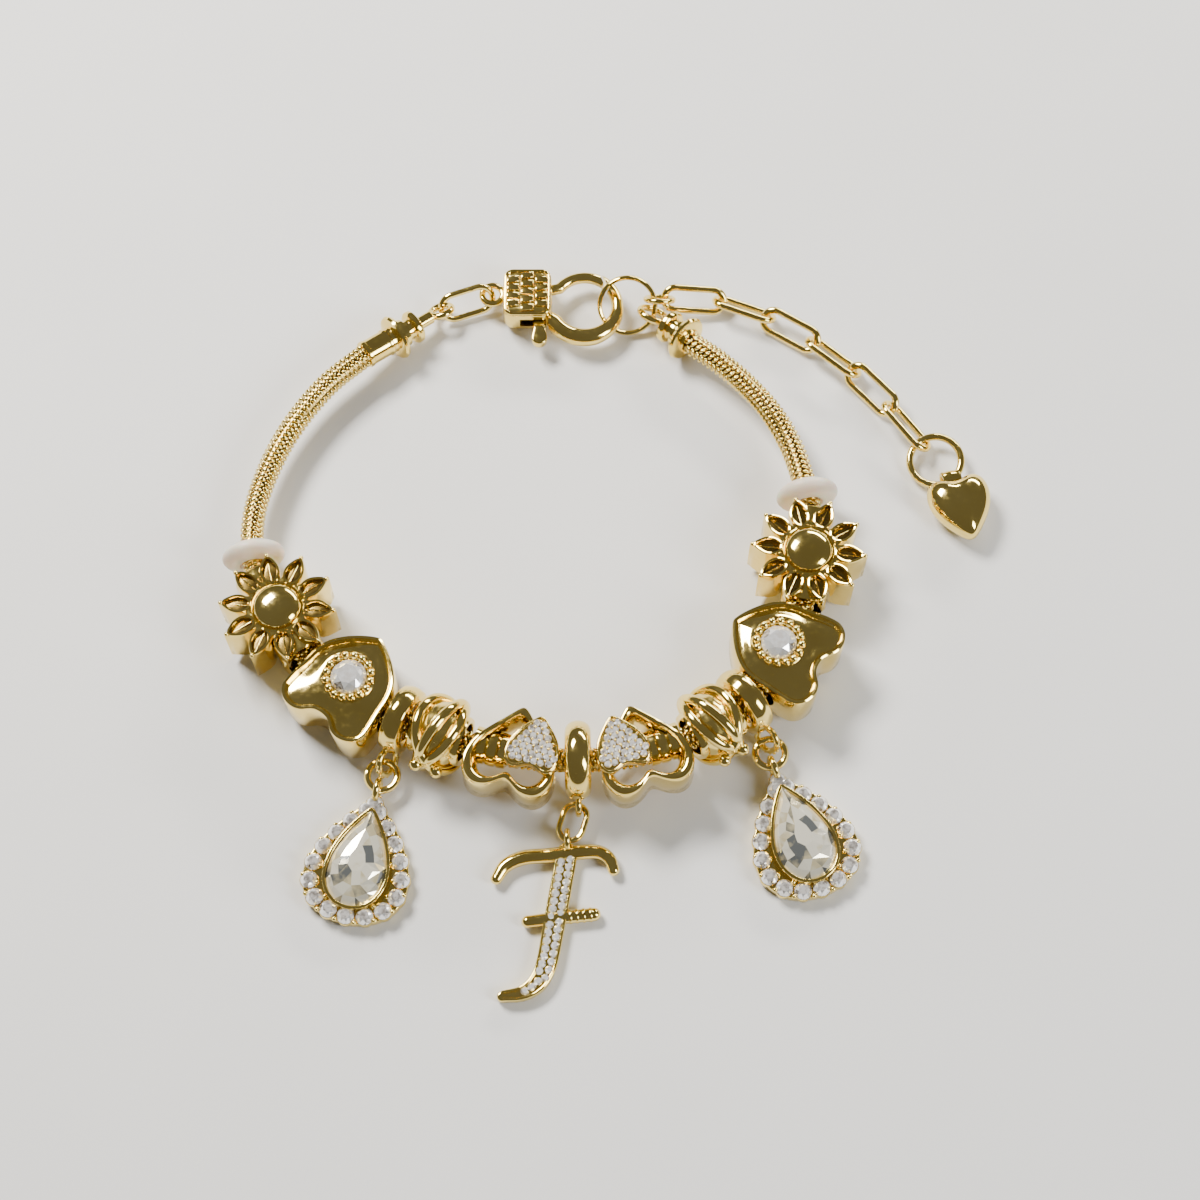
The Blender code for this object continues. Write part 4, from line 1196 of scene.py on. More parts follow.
@dataclass
class SpacerRing:
    """A polished ring round the chain with an eye low on its outer side."""

    name: str
    diameter: float = 9.1
    width: float = 3.3
    eye_radius: float = 1.1
    reach_share: float = 0.7
    eye_height: float = 1.6
    eye_lean: float = 0.0
    ridges: int = 1
    bore: float = BORE
    wire: float = 0.75

    def out(self, height: float) -> tuple[float, float]:
        """How far out and how far down the eye lies, for the ring's own height over the ground.

        Args:
            height: its height.

        Returns:
            Both distances.
        """
        drop = self.eye_height - height
        reach = self.diameter / 2 + self.reach_share * self.eye_radius
        return math.sqrt(reach**2 - drop**2), drop

    def profile(self) -> list[tuple[float, float]]:
        """The ring's section: a swelling back over a straight bore, with fine edge ridges if it has two.

        Returns:
            Pairs of a radius and a place along X.
        """
        points = [(self.bore, self.width * 0.30), (self.bore + 0.25, self.width * 0.40)]
        thick = self.diameter / 2 - self.bore
        steps = 28
        for step in range(steps + 1):
            share = step / steps
            along = math.cos(math.pi * share) * self.width * 0.46
            rise = math.sin(math.pi * share) ** 0.72
            if self.ridges > 1:
                rise += 0.09 * math.exp(-(((abs(along) - self.width * 0.36) / 0.16) ** 2))
            points.append((self.bore + thick * (0.30 + 0.70 * rise), along))
        points += [(self.bore + 0.25, -self.width * 0.40), (self.bore, -self.width * 0.30)]
        return [*points, points[0]]

    def build(self, finishes: Finishes, frame: Matrix, height: float) -> Vector:
        """Builds the ring and its eye.

        Args:
            finishes: the materials.
            frame: the ring's place in millimetres.
            height: the height of its centre in the source's own frame.

        Returns:
            The eye's centre in millimetres.
        """
        ring = Bench.turned(self.name + "_fine", self.profile(), 64)
        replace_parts(finishes.polish(ring, frame, 50), self.name)
        out, drop = self.out(height)
        place = Matrix.Translation((0.0, -out, drop)) @ Matrix.Rotation(math.radians(self.eye_lean), 4, "Y")
        place = place @ ACROSS
        eye = Bench.tube(self.name + "_eye", circle(self.eye_radius, 32), self.wire / 2, ring=True)
        finishes.polish(eye, frame @ place)
        if self.ridges > 1:
            self.grain(finishes, frame @ place)
        return frame @ Vector((0.0, -out, drop))

    def grain(self, finishes: Finishes, place: Matrix) -> None:
        """A string of small grains round the eye's outer edge."""
        spots = circle(self.eye_radius + self.wire * 0.42, 16)
        finishes.grains(self.name + "_grains", (0.21, 10, 6), facing(spots), place)


@dataclass
class OpenHeart:
    """A deep heart frame round the chain, with a stone-set heart towards the centre ring."""

    name: str
    toward_centre: int
    width: float = 10.8
    length: float = 10.9
    depth: float = 5.4
    wall: float = 1.5
    power: float = 2.3
    fill: float = 0.06
    pave_width: float = 6.2
    pave_low: float = 2.35
    pave_high: float = 3.5
    pave_length: float = 6.7
    stone: float = 0.42
    count: int = 96
    sleeve: tuple[tuple[float, float], ...] = (
        *((1.7, 0.6), (2.0, 0.7), (2.05, 1.6), (1.85, 1.75), (2.05, 1.9), (2.12, 2.4)),
        *((2.05, 2.9), (1.85, 3.05), (2.05, 3.2), (2.1, 4.6), (1.7, 4.6), (1.7, 0.6)),
    )

    def outlines(self) -> tuple[list[Vector], list[Vector]]:
        """The frame's outer line and the line of its hole, both with worn corners.

        Returns:
            The outer line and the hole's line.
        """
        outer = heart_outline(self.width, self.length, self.count, self.power, self.fill)
        inner = (self.width - 2 * self.wall, self.length - 2.4 * self.wall)
        hole = heart_outline(*inner, self.count, self.power, self.fill)
        return softened(outer, 10), softened(hole, 6)

    def skin(self) -> Piece:
        """The frame: a round bright rim outside and a wall that falls in from it.

        Returns:
            The piece.
        """
        half = self.depth / 2
        outer, hole = self.outlines()
        section = [
            (0.12, -half),
            (0.0, -half + 0.35),
            (0.0, half - 0.6),
            (0.03, half - 0.3),
            (0.12, half - 0.08),
            (0.26, half),
            (0.42, half - 0.02),
            (0.58, half - 0.14),
            (0.70, half - 0.38),
            (0.94, half - 1.5),
            (1.0, half - 1.9),
            (1.0, -half + 0.2),
            (0.9, -half),
        ]
        rings = []
        for share, height in section:
            rings.append(raised([first.lerp(second, share) for first, second in zip(outer, hole)], height))
        return Bench.bored(Bench.loft(self.name + "_fine", rings, ring=True), self.width)

    def build(self, finishes: Finishes, frame: Matrix) -> None:
        """Builds the frame, the sleeve inside it and the stone-set heart.

        Args:
            finishes: the materials.
            frame: its place in millimetres.
        """
        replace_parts(finishes.polish(self.skin(), frame, 34), self.name)
        sleeve = [(radius, -self.toward_centre * along) for radius, along in self.sleeve]
        finishes.polish(Bench.turned(self.name + "_sleeve", sleeve, 48), frame)
        self.pave(finishes, frame)

    def pave(self, finishes: Finishes, frame: Matrix) -> None:
        """Builds the small heart's plate and rim, its close-set stones and the grains that hold them.

        Args:
            finishes: the materials.
            frame: its place in millimetres.
        """
        shift = Vector((self.toward_centre * (self.width - self.pave_width) / 2, self.length * 0.08, 0.0))
        line = softened(heart_outline(self.pave_width, self.pave_length, self.count, 1.7, 0.12), 8)
        small = [point + shift for point in line]
        top = self.pave_high - 0.2
        plate = Bench.plate(self.name + "_pave_plate", [small], self.pave_low, top, 0.15)
        finishes.polish(plate, frame)
        rim = Bench.tube(self.name + "_pave_rim", raised(inset(small, 0.16), top), 0.19, ring=True, sides=10)
        finishes.polish(rim, frame)
        limit = inset(small, 0.50)
        across, along = 2.0 * self.stone, 1.74 * self.stone
        spots = []
        for row in range(-6, 7):
            for column in range(-6, 7):
                jog = 0.05 * math.sin(5.3 * row + 2.1 * column)
                spot = shift + Vector(((column + row % 2 / 2) * across + jog, row * along + jog / 2, 0.0))
                if inside(spot, limit):
                    spots.append(Vector((*spot.xy, self.pave_high - 0.26 + 1.2 * jog)))
        finishes.stones(self.name + "_pave_stones", (self.stone, 0.55), spots, frame)
        step = Vector((across / 2, along / 3, 0.0))
        held = [spot + step + Vector((0, 0, 0.38)) for spot in spots if inside(spot + step, limit)]
        finishes.grains(self.name + "_pave_grains", (0.16, 8, 6), facing(held), frame)


@dataclass
class KnotBead:
    """Thick polished hoops that cross over a hammered core."""

    name: str
    hand: int
    core: float = 3.85
    wire: float = 0.64
    width: float = 6.1
    beaten: float = 0.014
    hoops: tuple[tuple[float, float, float, float], ...] = (
        (4.1, 36.0, 75.0, 0.0),
        (4.1, 35.0, -106.0, 0.0),
        (4.2, -17.0, 0.0, 0.15),
    )

    def hammered(self) -> Piece:
        """The core with its beaten skin.

        Returns:
            The piece.
        """
        half, rows = 2.3, 24
        profile = [(BORE, -half)]
        for step in range(rows + 1):
            along = -half + 2 * half * step / rows
            profile.append((self.core * math.sqrt(1 - (along / 2.9) ** 2 * 0.8), along))
        core = Bench.turned(self.name + "_core", [*profile, (BORE, half), profile[0]], 64)
        for vertex in core.data.vertices:
            place = vertex.co
            if place.yz.length > BORE + 0.15:
                turn = math.atan2(place.z, place.y)
                beat = math.sin(9 * turn + 2.6 * place.x) * math.sin(2.9 * place.x - 5 * turn)
                swell = 1 + self.beaten * beat
                vertex.co = Vector((place.x, place.y * swell, place.z * swell))
        return core

    def build(self, finishes: Finishes, frame: Matrix) -> None:
        """Builds the core, the hoops, the two little balls and the collars.

        Args:
            finishes: the materials.
            frame: its place in millimetres.
        """
        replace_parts(finishes.dress(self.hammered(), Look.CAST, frame, 60), self.name)
        hoops = []
        for radius, lean, roll, along in self.hoops:
            hoop = Bench.tube("hoop", circle(radius, 72), self.wire, ring=True, sides=16)
            place = Matrix.Translation((along * self.hand, 0, 0))
            place = place @ Matrix.Rotation(math.radians(roll), 4, "X")
            place = place @ Matrix.Rotation(math.radians(lean * self.hand), 4, "Z") @ ACROSS
            hoops.append(Bench.move(hoop, place))
        finishes.polish(Bench.join(self.name + "_hoops", *hoops), frame, 60)
        end = self.width / 2
        lip = [(BORE, 2.2), (2.9, 2.2), (2.95, 2.75), (2.8, end), (2.35, end), (BORE, 2.95)]
        for side in (-1, 1):
            finishes.polish(Bench.collar(self.name, side, lip), frame)
        balls = [Vector((1.25 * self.hand, -4.45, 0.3)), Vector((-1.2 * self.hand, -4.5, 0.6))]
        finishes.grains(self.name + "_knobs", (0.74, 20, 14), facing(balls), frame)


@dataclass
class HaloHeart:
    """A deep heart bead with a dished face, and a round stone in a cup ringed by grains."""

    name: str
    stone: str
    width: float = 12.4
    length: float = 12.2
    depth: float = 6.0
    cup_radius: float = 3.1
    cup_top: float = 3.25
    seat: float = 2.3
    stone_radius: float = 2.1
    stone_height: float = 1.5
    grains: int = 16
    grain_radius: float = 0.5
    grain_circle: float = 2.62
    half: tuple[tuple[float, float], ...] = (
        (0.10, 0.47),
        (0.48, 0.35),
        (0.76, 0.20),
        (0.87, 0.05),
        (0.90, -0.12),
        (0.94, -0.28),
        (0.93, -0.41),
        (0.80, -0.50),
        (0.58, -0.54),
        (0.36, -0.52),
        (0.14, -0.44),
    )

    def outline(self) -> list[Vector]:
        """The heart's smooth outline, its tip at +Y."""
        right = [Vector((across * self.width / 2, along * self.length, 0.0)) for across, along in self.half]
        return rounded(right + [Vector((-point.x, point.y, 0.0)) for point in reversed(right)])

    def body(self) -> Piece:
        """The bead: straight sides, a thin bright rim and a face that swells up to the cup.

        Returns:
            The piece.
        """
        outer = self.outline()
        top = self.depth / 2
        section = [(0.5, -top), (0.1, -top + 0.15), (0.0, -top + 0.5), (0.0, top - 0.35), (0.07, top - 0.1)]
        section += [(0.25, top), (0.42, top - 0.04), (0.58, top - 0.35), (0.75, top - 0.55)]
        rings = [raised(inset(outer, distance), height) for distance, height in section]
        inner = inset(outer, 0.95)
        for share, height in ((0.0, -0.5), (0.25, -0.38), (0.5, -0.22), (0.75, -0.08), (0.96, 0.0)):
            row = [point.lerp(point.normalized() * self.cup_radius, share) for point in inner]
            rings.append(raised(row, top + height))
        return Bench.bored(Bench.loft(self.name + "_fine", rings), self.width, -0.4)

    def cup(self) -> Piece:
        """The stone's cup, turned on its own axis.

        Returns:
            The piece.
        """
        radius, top, foot = self.cup_radius, self.cup_top, 1.6
        profile = [(0.0, foot), (radius - 0.1, foot), (radius + 0.06, foot + 1.0), (radius, top - 0.12)]
        profile += [(radius - 0.15, top), (self.seat + 0.1, top), (self.seat, top - 0.1)]
        profile += [(self.seat, top - 0.7), (0.0, top - 0.7)]
        return Bench.move(Bench.turned(self.name + "_cup", profile, 48), STAND)

    def build(self, finishes: Finishes, frame: Matrix) -> None:
        """Builds the bead, the cup, the grains and the stone.

        Args:
            finishes: the materials.
            frame: its place in millimetres.
        """
        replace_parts(finishes.polish(self.body(), frame, 34), self.name)
        finishes.polish(self.cup(), frame)
        spots = circle(self.grain_circle, self.grains, self.cup_top + 0.02)
        finishes.grains(self.name + "_grains", (self.grain_radius, 14, 10), facing(spots), frame)
        stone = brilliant(self.stone + "_fine", self.stone_radius, self.stone_height)
        Bench.move(stone, Matrix.Translation((0, 0, self.cup_top - 0.6)))
        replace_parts(finishes.dress(stone, Look.BRILLIANT, frame, 0), self.stone)


@dataclass
class Sunflower:
    """A ten-petal flower bead with raised leaf rims and a mirror dome."""

    name: str
    diameter: float = 13.8
    valley: float = 3.55
    depth: float = 6.0
    petals: int = 10
    dome: float = 2.9
    rise: float = 1.1
    collar: float = 12.0

    def petal(self, index: int, shares: Sequence[tuple[float, float]]) -> list[Vector]:
        """Points given as shares of the outer radius along and across a petal.

        Args:
            index: the petal's number.
            shares: pairs of a reach and a side.

        Returns:
            The points.
        """
        along = towards(360 / self.petals * (index + 0.5))
        across = aside(along)
        outer = self.diameter / 2
        return [along * outer * reach + across * outer * side for reach, side in shares]

    def outline(self) -> list[Vector]:
        """The flower's outline with soft shoulders and fine tips.

        Returns:
            The points.
        """
        points = []
        for index in range(self.petals):
            points.append(towards(360 / self.petals * index) * self.valley)
            half = [(0.60, 0.160), (0.70, 0.172), (0.80, 0.138), (0.90, 0.075), (0.97, 0.022)]
            points += self.petal(index, [*[(reach, -side) for reach, side in half], (1.0, 0.0), *half[::-1]])
        return points

    def leaf(self, index: int) -> list[Vector]:
        """The sunken middle of a petal."""
        half = [(0.49, 0.05), (0.57, 0.112), (0.68, 0.128), (0.79, 0.092), (0.905, 0.0)]
        return rounded(self.petal(index, half + [(reach, -side) for reach, side in reversed(half[:-1])]), 3)

    def build(self, finishes: Finishes, frame: Matrix) -> None:
        """Builds the body, the leaf rims, the leaf floors painted dark as shade, the ribs, the tips, the dome
        and the collars.

        Args:
            finishes: the materials.
            frame: its place in millimetres.
        """
        half = self.depth / 2
        outer = self.outline()
        levels = ((0.12, -half), (0.0, -half + 0.2), (0.0, half - 0.3), (0.04, half - 0.08), (0.12, half))
        rings = [raised(inset(outer, distance), height) for distance, height in levels]
        flower = Bench.loft(self.name + "_fine", rings)
        leaves = [self.leaf(index) for index in range(self.petals)]
        leaves = [Bench.plate("leaf", [leaf], half - 0.5, half + 1.0, 0.1) for leaf in leaves]
        flower = Bench.bored(Bench.cut(flower, Bench.join("leaves", *leaves)), self.diameter)
        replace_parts(finishes.polish(flower, frame, 30), self.name)
        turns = [Matrix.Rotation(2 * math.pi * index / self.petals, 4, "Z") for index in range(self.petals)]
        rim = Bench.tube("rim", raised(inset(self.leaf(0), -0.12), half), 0.19, ring=True, sides=8)
        finishes.polish(Bench.scatter(self.name + "_rims", rim, turns), frame)
        floor = Bench.plate("floor", [inset(self.leaf(0), 0.04)], half - 0.6, half - 0.42, 0.02)
        vein = raised(self.petal(0, [(0.46, 0.0), (0.6, 0.0), (0.74, 0.0), (0.86, 0.0)]), half - 0.4)
        rib = Bench.tube("rib", vein, 0.13, sides=8, shares=[1.0, 0.9, 0.6, 0.25])
        # The leaf floors are painted dark gold as the shade in the sunken petals.
        finishes.dress(Bench.scatter(self.name + "_floors", floor, turns), Look.RECESS, frame)
        finishes.polish(Bench.scatter(self.name + "_ribs", rib, turns), frame, 60)
        tip = Matrix.Translation((self.diameter * 0.478, 0, half - 0.02))
        tip = Matrix.Rotation(math.pi / self.petals, 4, "Z") @ tip
        finishes.grains(self.name + "_tips", (0.3, 10, 8), [turn @ tip for turn in turns], frame)
        self.centre(finishes, frame)

    def centre(self, finishes: Finishes, frame: Matrix) -> None:
        """The dome in its turned ring, and the collars at both ends of the bore.

        Args:
            finishes: the materials.
            frame: its place in millimetres.
        """
        half = self.depth / 2
        profile = [(0.0, half - 0.4), (self.dome + 0.25, half - 0.4), (self.dome + 0.28, half + 0.05)]
        profile += [(self.dome + 0.12, half + 0.22), (self.dome - 0.08, half + 0.12)]
        for step in range(13):
            turn = math.pi / 2 * step / 12
            height = half + 0.05 + (self.rise + 0.1) * math.sin(turn)
            profile.append(((self.dome - 0.12) * math.cos(turn), height))
        finishes.polish(Bench.turned(self.name + "_dome", profile, 64), frame @ STAND, 40)
        end = self.collar / 2
        lip = [(BORE, 3.4), (2.65, 3.4), (2.65, end - 0.15), (2.5, end), (2.3, end), (BORE, end - 0.1)]
        for side in (-1, 1):
            finishes.polish(Bench.collar(self.name, side, lip), frame)


@dataclass
class Stopper:
    """A soft silicone ring on the chain."""

    name: str
    outer: float = 3.7
    inner: float = 1.62
    width: float = 2.5

    def build(self, finishes: Finishes, frame: Matrix) -> None:
        """Builds the ring, thick at its hole and thin at its rim.

        Args:
            finishes: the materials.
            frame: its place in millimetres.
        """
        half = self.width / 2
        side = [(self.inner, half * 0.8), (self.inner + 0.12, half * 0.95)]
        for reach, share in ((0.62, 0.92), (0.8, 0.72), (0.93, 0.46), (0.985, 0.22)):
            side.append((self.outer * reach, half * share))
        profile = [*side, (self.outer, 0.0), *[(radius, -along) for radius, along in reversed(side)], side[0]]
        ring = Bench.turned(self.name + "_fine", profile, 64)
        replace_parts(finishes.dress(ring, Look.SOFT, frame, 50), self.name)


@dataclass
class EndCap:
    """A turned cap with two flanges, an eye on a neck and a sleeve over the chain."""

    name: str
    eye: Triple
    heading: float
    pitch: float
    roll: float
    neck: float
    sleeve: float
    eye_radius: float
    wire: float = 0.9

    def frame(self) -> Matrix:
        """The cap's place, X along its axis from the eye to the chain.

        Returns:
            The frame.
        """
        pitch = math.radians(self.pitch)
        way = towards(self.heading) * math.cos(pitch) + Vector((0, 0, math.sin(pitch)))
        return aimed(Vector(self.eye) - LAYOUT_CENTRE, way, roll=self.roll)

    def profile(self) -> list[tuple[float, float]]:
        """The turned outline: neck, small flange, waist, big flange and a grooved sleeve.

        Returns:
            Pairs of a radius and a place along X.
        """
        start = self.eye_radius + 0.18
        small = start + self.neck
        waist = small + 1.0
        big = waist + 0.8
        tail = big + 1.9
        end = tail + self.sleeve
        sections = [
            (start, ((0.0, 0.0), (0.62, 0.0), (0.8, 0.15))),
            (small, ((0.8, -0.05), (1.3, 0.0), (1.85, 0.04), (2.06, 0.22), (2.1, 0.5))),
            (waist, ((2.06, -0.22), (1.85, -0.04), (1.4, 0.02), (1.3, 0.15))),
            (big, ((1.3, -0.12), (1.5, 0.0), (1.72, 0.1), (1.78, 0.6))),
            (tail, ((1.8, -1.0), (2.35, -0.94), (2.7, -0.8), (2.85, -0.48))),
            (tail, ((2.7, -0.16), (2.35, -0.02), (1.9, 0.02), (1.62, 0.1))),
        ]
        if self.sleeve > 2:
            sections.append((tail, ((1.6, 0.6), (1.72, 0.75), (1.72, 1.0), (1.6, 1.15))))
            sections.append((end, ((1.6, -0.55), (1.7, -0.45), (1.7, -0.12))))
        sections.append((end, ((1.6, 0.0), (1.35, 0.02), (0.0, 0.02))))
        return [(radius, place + along) for place, steps in sections for radius, along in steps]

    def build(self, finishes: Finishes) -> None:
        """Builds the cap and its eye.

        Args:
            finishes: the materials.
        """
        cap = Bench.turned(self.name + "_fine", self.profile(), 64)
        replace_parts(finishes.polish(cap, self.frame(), 32), self.name)
        eye = Bench.tube(self.name + "_eye", circle(self.eye_radius, 40), self.wire / 2, ring=True)
        finishes.polish(eye, self.frame())


def loop_points(length: float, width: float, thick: float, count: int = 48) -> list[Vector]:
    """The centre line of an oval link, its long way along X.

    Args:
        length: the link's outer length.
        width: its outer width.
        thick: the thickness of its wire.
        count: the number of points.

    Returns:
        The centre line.
    """
    radius = (width - thick) / 2
    reach = (length - thick) / 2 - radius
    if reach < 0.002:
        return circle(radius, count)
    right = arc(Vector((reach, 0, 0)), radius, -90, 90, count // 2)
    return right + [-point for point in right]


@dataclass
class Loop:
    """A wire ring or an oval link, its wire closed on itself or wound in coils with cut ends."""

    name: str
    length: float
    width: float
    thick: float
    sides: int = 12
    coils: int = 1

    def build(self, finishes: Finishes, frame: Matrix) -> None:
        """Builds the wire, closed on itself or wound in coils with cut ends.

        Args:
            finishes: the materials.
            frame: its place in millimetres.
        """
        points = spaced(loop_points(self.length, self.width, self.thick), 72)
        if self.coils == 1:
            wire = Bench.tube(self.name + "_fine", points, self.thick / 2, ring=True, sides=self.sides)
        else:
            thin = self.thick / 2 / self.coils
            count = len(points) * self.coils
            wound = []
            for index in range(count - 2):
                height = (2 * index / (count - 3) - 1) * (self.thick / 2 - thin)
                wound.append(Vector((*points[index % len(points)].xy, height)))
            wire = Bench.tube(self.name + "_fine", wound, thin * 1.36, sides=self.sides)
        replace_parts(finishes.polish(wire, frame, 30), self.name)


@dataclass
class Extender:
    """The small ring, six long links and the end ring, each hooked through the next."""

    route: Route
    ring: Triple = (4.1, 4.1, 0.7)
    link: Triple = (8.4, 3.6, 0.85)
    end: Triple = (7.1, 7.1, 0.9)
    leans: tuple[float, float] = (40.0, -42.0)
    count: int = 6
    gap: float = 0.3

    def build(self, finishes: Finishes) -> Matrix:
        """Builds every ring and link and returns the end ring's frame.

        Args:
            finishes: the materials.

        Returns:
            The frame.
        """
        loops = [("extender_ring", self.ring, -50.0)]
        for index in range(self.count):
            loops.append((f"extender_link_{index + 1}", self.link, self.leans[index % 2]))
        loops.append(("extender_end_ring", self.end, 8.0))
        distance = 0.0
        before: Triple | None = None
        frame = Matrix.Identity(4)
        for name, size, roll in loops:
            length, width, thick = size
            if before:
                distance += (before[0] - before[2] + length - thick) / 2 - (before[2] + thick) / 2 - self.gap
            half = length / 4
            ends = self.route.at(distance - half), self.route.at(distance + half)
            place = (ends[0] + 2 * self.route.at(distance) + ends[1]) / 4
            frame = aimed(place, ends[1] - ends[0], roll=roll)
            Loop(name, length, width, thick, sides=14).build(finishes, frame)
            before = size
        return frame


@dataclass
class HeartDrop:
    """A puffed mirror heart whose tube holds the end ring."""

    ring: Matrix
    reach: float
    wire: float
    width: float = 7.8
    length: float = 8.8
    thick: float = 4.4
    power: float = 1.8
    fill: float = 0.13
    heading: float = -76.0
    sink: float = 0.75
    lift: float = 0.02
    bands: int = 24

    def build(self, finishes: Finishes) -> None:
        """Builds the heart and the tube that holds the end ring.

        Args:
            finishes: the materials.
        """
        outline = heart_outline(self.width, self.length, 96, self.power, self.fill)
        notch = min(point.y for point in outline if abs(point.x) < self.width * 0.1)
        outline = softened(outline, 24)
        half = self.thick / 2
        rings = []
        for step in range(1, self.bands):
            turn = -math.pi / 2 + math.pi * step / self.bands
            rings.append(lifted(outline, half * math.sin(turn), math.cos(turn) ** 0.75))
        heart = Bench.loft("heart_drop_fine", rings)
        tube = self.ring @ Vector((self.reach, 0.0, 0.0))
        frame = level(Vector((tube.x, tube.y, 0.0)), self.heading - 90.0)
        frame = frame @ Matrix.Translation((0.0, self.sink - notch, half + self.lift))
        channel = Bench.tube("channel", circle(self.reach, 48), self.wire / 2 + 0.25, ring=True)
        Bench.move(channel, frame.inverted() @ self.ring)
        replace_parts(finishes.polish(Bench.cut(heart, channel), frame, 60), "heart_drop")
        inner, outer = self.wire / 2 + 0.2, self.wire / 2 + 0.72
        side = [(inner, 0.95), (inner + 0.12, 1.12), (outer - 0.12, 1.12), (outer, 0.95)]
        side += [(outer - 0.06, 0.6), (outer, 0.3)]
        profile = [*side, *[(radius, -along) for radius, along in reversed(side)], side[0]]
        bail = Bench.turned("heart_drop_bail", profile, 40)
        place = Matrix.Translation((0.0, notch - self.sink, tube.z - half - self.lift))
        finishes.polish(bail, frame @ place)


@dataclass
class Teardrop:
    """A pear stone in a thin bezel within a border of round stones, on its own jump ring."""

    side: str
    grip: Vector
    lean: float
    width: float = 12.4
    length: float = 15.2
    plate: float = 1.7
    pear: Triple = (6.7, 11.2, 2.6)
    floor: float = 0.8
    stones: int = 18
    stone: float = 1.0
    eye_radius: float = 1.1

    def pear_stone(self) -> Piece:
        """The long-facetted pear: a small table, three rows of kites, a girdle and a pavilion.

        Returns:
            The piece.
        """
        width, length, height = self.pear
        rows = ((0.22, 0.0, 14, 0.0), (0.98, 0.40, 32, 0.0), (1.0, 0.46, 32, 0.0), (0.84, 0.72, 16, 0.5))
        rows += ((0.60, 0.90, 16, 0.0), (0.30, 1.0, 8, 0.25))
        corners = []
        for share, rise, count, shift in rows:
            outline = spaced(pear_outline(width, length, 96), count, shift)
            corners += lifted(outline, self.floor + rise * height, share)
        return Bench.facet(Bench.gem(f"pear_stone_{self.side}_fine", corners))

    def border(self, finishes: Finishes, frame: Matrix, outer: Line) -> None:
        """Builds the round cups, their stones and the grains between them.

        Args:
            finishes: the materials.
            frame: the drop's place in millimetres.
            outer: the drop's outline.
        """
        name = f"teardrop_{self.side}"
        spots = spaced(inset(outer, 0.96), self.stones)
        profile = [(0.0, 0.25), (0.97, 0.25), (1.07, 0.5), (1.1, self.plate - 0.4), (1.04, self.plate - 0.25)]
        profile += [(0.97, self.plate - 0.3), (0.93, self.plate - 0.55), (0.0, self.plate - 0.55)]
        cup = Bench.move(Bench.turned("cup", profile, 24), STAND)
        cups = Bench.scatter(name + "_cups", cup, [Matrix.Translation(spot) for spot in raised(spots, 0.0)])
        finishes.polish(cups, frame)
        finishes.stones(name + "_stones", (self.stone, 1.1), raised(spots, self.plate - 0.58), frame)
        grains = []
        for distance, size in ((0.24, 1.0), (1.86, 0.95)):
            for spot in raised(spaced(inset(outer, distance), self.stones, 0.5), self.plate - 0.12):
                grains.append(Matrix.Translation(spot) @ Matrix.Scale(size, 4))
        finishes.grains(name + "_grains", (0.3, 12, 8), grains, frame)

    def build(self, finishes: Finishes) -> None:
        """Builds the plate, the bezel, the border, the pear stone and the eye.

        Args:
            finishes: the materials.
        """
        name = f"teardrop_{self.side}"
        top = self.length / 2 + self.eye_radius * 0.6
        frame = level(Vector((*self.grip.xy, 0.0)), self.lean) @ Matrix.Translation((0.0, -top, 0.0))
        line = pear_outline(self.pear[0], self.pear[1], 72)
        outer = pear_outline(self.width, self.length, 96)
        outlines = [inset(outer, 0.12), inset(line, -0.15)]
        plate = Bench.plate(name + "_fine", outlines, 0.0, self.plate - 0.35, 0.18)
        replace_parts(finishes.polish(plate, frame), name)
        bezel = Bench.plate(name + "_bezel", [inset(line, -0.42), inset(line, -0.02)], 0.1, 2.35, 0.1)
        finishes.polish(bezel, frame)
        back = Bench.plate(name + "_back", [inset(line, -0.3)], 0.05, 0.7, 0.1)
        finishes.polish(back, frame)
        self.border(finishes, frame, outer)
        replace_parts(finishes.dress(self.pear_stone(), Look.PEAR, frame, 0), f"pear_stone_{self.side}")
        place = Matrix.Translation((0.0, top, self.grip.z)) @ ACROSS
        eye = Bench.tube(name + "_eye", circle(self.eye_radius, 32), 0.375, ring=True)
        finishes.polish(eye, frame @ place)


